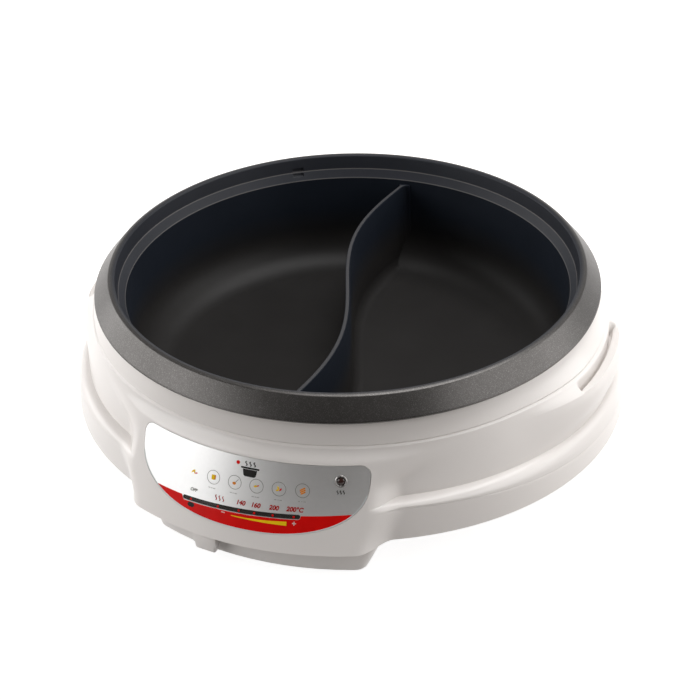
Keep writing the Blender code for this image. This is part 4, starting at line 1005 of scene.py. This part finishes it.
def circle(radius, count=32, centre=(0.0, 0.0), squash=1.0):
    return [(centre[0] + radius * cos(tau * i / count), centre[1] + radius * squash * sin(tau * i / count))
            for i in range(count)]


def placed(loop, angle, centre):
    c, s = cos(angle), sin(angle)
    return [(centre[0] + u * c - v * s, centre[1] + u * s + v * c) for u, v in loop]


def rounded_bar(half_length, half_width, steps):
    """A level bar with round ends."""
    turns = [pi / 2 - pi * i / steps for i in range(steps + 1)]
    return [(side * (half_length - half_width + half_width * cos(a)), side * half_width * sin(a))
            for side in (1, -1) for a in turns]


def bar(length, width, angle=0.0, centre=(0.0, 0.0)):
    return placed(rounded_bar(length / 2, width / 2, 8), angle, centre)


def leaf(length, width, angle, centre):
    upper = [(length * (i / 10 - 0.5), width / 2 * sin(pi * i / 10)) for i in range(11)]
    return placed(upper + [(u, -v) for u, v in reversed(upper[1:-1])], angle, centre)


def wave(length, width, swing, centre=(0.0, 0.0)):
    """A short wavy line."""
    middle = [(swing * sin(tau * i / 16), length * (i / 16 - 0.5)) for i in range(17)]
    return placed([(u + width / 2, v) for u, v in middle]
                  + [(u - width / 2, v) for u, v in reversed(middle)], 0.0, centre)


slot_half_length = face_radius(slot_height) * sin(slot_half_angle)


def stadium(margin):
    """The dial slot's tilted outline, drawn in by a margin, as (x, height) points."""
    return [(x, slot_height + v + slot_tilt * x)
            for x, v in rounded_bar(slot_half_length - margin, slot_half_height - margin, 10)]


def fascia_outline(shrink):
    """The panel's outline, drawn in by a margin."""
    half = fascia_half_width - shrink
    top = fascia_top_height - shrink
    reach = fascia_side_height - fascia_low_height - shrink
    corner = fascia_corner - shrink
    right = [(half - corner + corner * cos(a), top - corner + corner * sin(a))
             for a in (pi / 2 - pi / 2 * i / 8 for i in range(9))]
    power = 2 / fascia_bulge
    right += [(half * cos(a) ** power, fascia_side_height - reach * sin(a) ** power)
              for a in (pi / 2 * i / 24 for i in range(25))]
    left = [(-x, z) for x, z in reversed(right[:-1])]
    return [(x + fascia_offset, z) for x, z in right + left]


def band_outline(margin):
    """The red field: the panel's foot below a line through the dial slot, less the slot."""
    half = fascia_half_width - margin
    reach = fascia_side_height - fascia_low_height - margin
    slot_half = slot_half_length + 0.2 * MM
    slot_round = slot_half_height + 0.2 * MM

    def low(x):
        share = min(1.0, abs(x - fascia_offset) / half)
        return fascia_side_height - reach * (1.0 - share ** fascia_bulge) ** (1.0 / fascia_bulge)

    def high(x):
        inside = slot_half - abs(x)
        if inside < 0.0:
            return slot_height + 0.1 * MM + (band_right_tilt if x > 0.0 else band_left_tilt) * x
        short = max(0.0, slot_round - inside)
        return slot_height + slot_tilt * x - sqrt(max(0.0, slot_round ** 2 - short ** 2))

    steps = 220
    xs = [fascia_offset + half * (2.0 * i / steps - 1.0) for i in range(steps + 1)]
    xs = [x for x in xs if low(x) < high(x) - 0.1 * MM]
    return [(x, low(x)) for x in xs] + [(x, high(x)) for x in reversed(xs)]


def make_knob():
    """The soft-edged cap on the tab under the console that slides the dial's pointer."""
    mesh = block("slide_cap", (-knob_width / 2, -knob_outer_radius, knob_low),
                 (knob_width / 2, -knob_inner_radius, knob_high))
    work = bmesh.new()
    work.from_mesh(mesh)
    for vertex in work.verts:
        if vertex.co.z < (knob_low + knob_high) / 2:
            vertex.co.x *= knob_foot_share
            if vertex.co.y < -(knob_inner_radius + knob_outer_radius) / 2:
                vertex.co.y += knob_lean
    bmesh.ops.bevel(work, geom=work.edges[:], offset=knob_edge, segments=4, affect="EDGES", profile=0.5)
    finished(work, mesh)
    low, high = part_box("slide_knob")
    mesh.transform(turn_about_axis(atan2((low.x + high.x) / 2, axis_y - (low.y + high.y) / 2)))
    smooth(mesh, 40.0)
    piece("slide_cap", mesh, "white", frame["nodes"]["slide_knob"]["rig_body"])


make_pan()
make_shell()
make_knob()
holes = [stadium(0.0)[::-1], lamp_outline(lamp_radius + lamp_gap)[::-1]]
face_plate("panel_skin", [fascia_outline(0.0)] + holes, plate_back, 0.0, "silver", "fascia_panel")
face_plate("window_skin", [stadium(window_gap)], plate_back, window_front, "window", "dial_window")
draped_film("print_red_field", band_outline(0.55 * MM), "red")
# Painted highlight: a pale line along the panel's foot and lower sides, where its edge faces up into the
# light
outer_edge, inner_edge = ([point for point in fascia_outline(margin) if point[1] < edge_highlight_top]
                          for margin in (0.08 * MM, 0.62 * MM))
draped_film("painted_edge_highlight_strip", outer_edge + inner_edge[::-1], "edge_highlight", edge_highlight_lift)

for index, (words, azimuth) in enumerate((("140", 0.3), ("160", 3.3), ("200", 6.9), ("200°C", 10.9)), 1):
    name = "print_number_%d" % index
    wrapped(name, text_curve(name, words, 4.1 * MM, 0.22), azimuth, 45.9 * MM, "numeral", tilt=number_tilt)
wrapped("print_off", text_curve("print_off", "OFF", 2.9 * MM, 0.2), -9.8, 45.7 * MM, "grey_ink")
for index, azimuth in enumerate((-10.1, -4.2, 0.1, 3.2, 6.8, 10.8), 1):
    mark("dial_dot_%d" % index, [circle(0.75, 20)], azimuth, slot_height, "red", tilt=slot_tilt)

# Food signs, in five rings and one free place
for index, azimuth in enumerate(icon_azimuths, 1):
    mark("print_ring_%d" % index, [circle(4.6, 40), circle(4.3, 40)[::-1]], azimuth, icon_height, "grey_ink",
         tilt=icon_tilt)
icons = [
    (-10.3, "yellow", [leaf(3.2, 1.0, 0.9, (-1.0, 0.0)), leaf(3.0, 0.9, 1.6, (0.3, 0.0))]),
    (-10.3, "red", [leaf(2.6, 0.8, 0.3, (1.6, -0.6))]),
    (-5.9, "yellow", [[(-1.3, -1.6), (0.7, -1.6), (0.7, 1.6), (-1.3, 1.6)]]),
    (-5.9, "orange", [[(0.8, -1.4), (1.6, -1.1), (1.6, 1.8), (0.8, 1.6)]]),
    (-1.3, "orange", [circle(1.2, 20, (-0.3, -0.7), 0.75)]),
    (-1.3, "grey_ink", [bar(3.0, 0.35, 0.85, (1.4, 1.2))]),
    (3.2, "yellow", [leaf(3.0, 1.3, 0.25, (-0.6, -0.2))]),
    (3.2, "red", [leaf(1.8, 0.8, 0.6, (1.0, 0.3))]),
    (7.7, "yellow", [leaf(2.8, 1.1, 1.9, (-0.5, 0.5)), leaf(2.4, 1.0, 0.2, (-1.0, -0.9))]),
    (7.7, "red", [leaf(2.6, 1.0, 0.9, (1.0, -0.4))]),
    (12.3, "orange", [bar(3.8, 0.8, 0.5, (0.0, 0.9)), bar(3.8, 0.8, 0.5, (0.2, -0.3)),
                      bar(3.4, 0.8, 0.5, (0.4, -1.5))]),
]
for index, (azimuth, finish, loops) in enumerate(icons, 1):
    mark("print_icon_%d" % index, loops, azimuth, icon_height, finish, tilt=icon_tilt)

# Waves for the lowest setting and by the lamp, and the steaming pot with its dot
for index in range(3):
    mark("print_warm_%d" % (index + 1), [wave(3.4, 0.65, 0.45)], -4.8 + 0.75 * index, 45.6 * MM, "numeral")
    mark("print_heat_%d" % (index + 1), [wave(2.4, 0.55, 0.35)], 19.0 + 0.6 * index, 58.4 * MM, "dark_ink")
pot_body = [(-4.8, 1.2), (-4.1, -2.6), (-3.1, -3.4), (3.1, -3.4), (4.1, -2.6), (4.8, 1.2)]
pictogram = {"print_pot_1": pot_body, "print_pot_2": bar(12.4, 1.1, 0.0, (0.0, 2.1))}
for index in (1, 2, 3):
    pictogram["print_steam_%d" % index] = wave(3.0, 0.8, 0.5, ((index - 2) * 2.8, 4.9))
pictogram["print_pot_dot"] = circle(1.2, 24, (-8.4, 4.6))
for name, loop in pictogram.items():
    mark(name, [loop], pictogram_azimuth, pictogram_height, "red" if name == "print_pot_dot" else "dark_ink")

# Fine grey dashes in place of the small words under the signs
for index, azimuth in enumerate(icon_azimuths, 1):
    for part, (length, u) in enumerate(((1.6, -1.9), (1.0, -0.2), (1.8, 1.5)), 1):
        mark("print_dash_%d_%d" % (index, part), [bar(length, 0.4, 0.0, (u, 0.0))], azimuth, dash_height,
             "faint_ink", tilt=icon_tilt)

# On the red field: off block, the heat wedge and its two ends
mark("print_off_block", [bar(5.0, 2.9)], -9.9, 36.4 * MM, "dark_ink", over_lift)
wedge = [(-18.3, 0.2), (-18.3, -0.2), (-8.0, -0.75), (4.0, -1.35), (18.3, -1.9), (18.3, 0.75), (4.0, 0.25),
         (-8.0, 0.1)]
mark("print_wedge", [[(u, v + slot_tilt * u) for u, v in wedge]], 4.1, 37.9 * MM, "yellow", over_lift)
for name, turn, azimuth, height in (("print_less", 0.0, -3.0, 37.9), ("print_more_1", 0.0, 10.9, 38.6),
                                    ("print_more_2", pi / 2, 10.9, 38.6)):
    mark(name, [bar(2.6, 0.6, turn)], azimuth, height * MM, "pale_ink", over_lift)


def lamp_bezel():
    """A bright rounded ring round the lamp."""
    section = [(lamp_radius + out * MM, high * MM) for out, high in (
        (0.25, -0.4), (0.25, 0.35), (0.55, 0.65), (1.0, 0.65), (1.35, 0.35), (1.4, 0.02))]
    turns = [tau * i / 48 for i in range(48)]
    mesh = lofted("lamp_bezel", [[on_face(radius * cos(a), radius * sin(a), high, lamp_azimuth, lamp_height)
                                  for radius, high in section] for a in turns], True)
    smooth(mesh, 50.0)
    piece("lamp_bezel", mesh, "chrome")


lamp_bezel()


# Stage, light and camera

def rays_of(tree):
    """The camera's rays, and those that gloss or clear plastic send on."""
    rays = add(tree, "LightPath").outputs
    return rays["Is Camera Ray"], math_node("MAXIMUM", rays["Is Glossy Ray"], rays["Is Transmission Ray"])


# The floor looks white to the camera, and its mirror image fades out in front of the object
floor_half = 6.0
floor_mesh = bpy.data.meshes.new("floor")
corners = ((-1, -1), (1, -1), (1, 1), (-1, 1))
floor_mesh.from_pydata([(x * floor_half, y * floor_half, 0.0) for x, y in corners], [], [(0, 1, 2, 3)])
floor = link("floor", floor_mesh)
floor_finish, shader, place = start("floor_white", {"Roughness": 0.9, "Specular IOR Level": 0.1})
along = separate(place)[1]
paper = fade(along, -0.30, 0.0)
wire(shader, "Base Color", ramp(paper, (0.17, 0.157, 0.15), (0.46, 0.436, 0.42), (0.0, 1.0)))
direct, mirrored = rays_of(floor_finish.node_tree)
seen = math_node("MAXIMUM", direct, times(mirrored, fade(along, -0.38, -0.21)))
glow = add(shader, "Emission", {"Color": (1.0, 1.0, 1.0, 1.0), "Strength": 0.90})
both = add(shader, "AddShader", {0: shader.outputs[0], 1: glow.outputs[0]})
mixed = add(shader, "MixShader", {0: seen, 1: shader.outputs[0], 2: both.outputs[0]})
wire(floor_finish.node_tree.nodes["Material Output"], "Surface", mixed.outputs[0])
floor_mesh.materials.append(floor_finish)

# A warm dim studio lights the object; the camera sees white, and so does gloss low down at the back
world = bpy.data.worlds.new("studio")
bpy.context.scene.world = world
world.use_nodes = True
tree = world.node_tree
back = tree.nodes["Background"]
along, up = separate(add(tree, "TexCoord").outputs["Generated"])[1:]
studio = fade(along, -0.9, 0.5, 0.04, 0.26)
direct, mirrored = rays_of(tree)
backdrop = times(mirrored, times(fade(along, 0.0, 0.35), fade(up, 0.42, 0.28)))
shown = math_node("MAXIMUM", direct, backdrop)
level = add(shown, "Mix", {"Factor": shown, 2: studio, 3: 1.0}, data_type="FLOAT").outputs[0]
wire(back, "Strength", level)
wire(back, "Color", blend(shown, (1.0, 0.94, 0.89, 1.0), (1.0, 1.0, 1.0, 1.0)))


def area(name, spot, aim_height, size, power):
    """A soft box at a spot, aimed at the middle of the object."""
    lamp = bpy.data.lights.new(name, "AREA")
    lamp.shape = "RECTANGLE"
    lamp.size, lamp.size_y = size
    lamp.energy = power
    box = link(name, lamp)
    box.location = spot
    box.rotation_euler = (Vector((0.0, 0.0, aim_height)) - Vector(spot)).to_track_quat("-Z", "Y").to_euler()


area("left_box", (-1.34, -0.58, 0.60), 0.08, (2.6, 1.1), 25.5)
area("right_box", (1.36, 0.22, 0.66), 0.08, (1.8, 1.2), 15.0)
area("top_box", (0.30, 0.40, 1.7), 0.05, (1.2, 1.2), 22.0)

view_azimuth = radians(22.0)
view_elevation = radians(30.3)
view_distance = 1.220
view_roll = radians(-1.61)
lens_data = bpy.data.cameras.new("camera")
lens_data.sensor_width = 36.0
lens_data.lens = 90.72
lens_data.shift_x = 0.0044
lens_data.shift_y = -0.1257
camera = link("camera", lens_data)
camera.matrix_world = (Matrix.Translation((0.0, axis_y, crest_height)) @ Matrix.Rotation(view_azimuth, 4, "Z")
                       @ Matrix.Rotation(pi / 2 - view_elevation, 4, "X")
                       @ Matrix.Rotation(view_roll, 4, "Z") @ Matrix.Translation((0.0, 0.0, view_distance)))
bpy.context.scene.camera = camera
bpy.context.scene.view_settings.view_transform = "Standard"
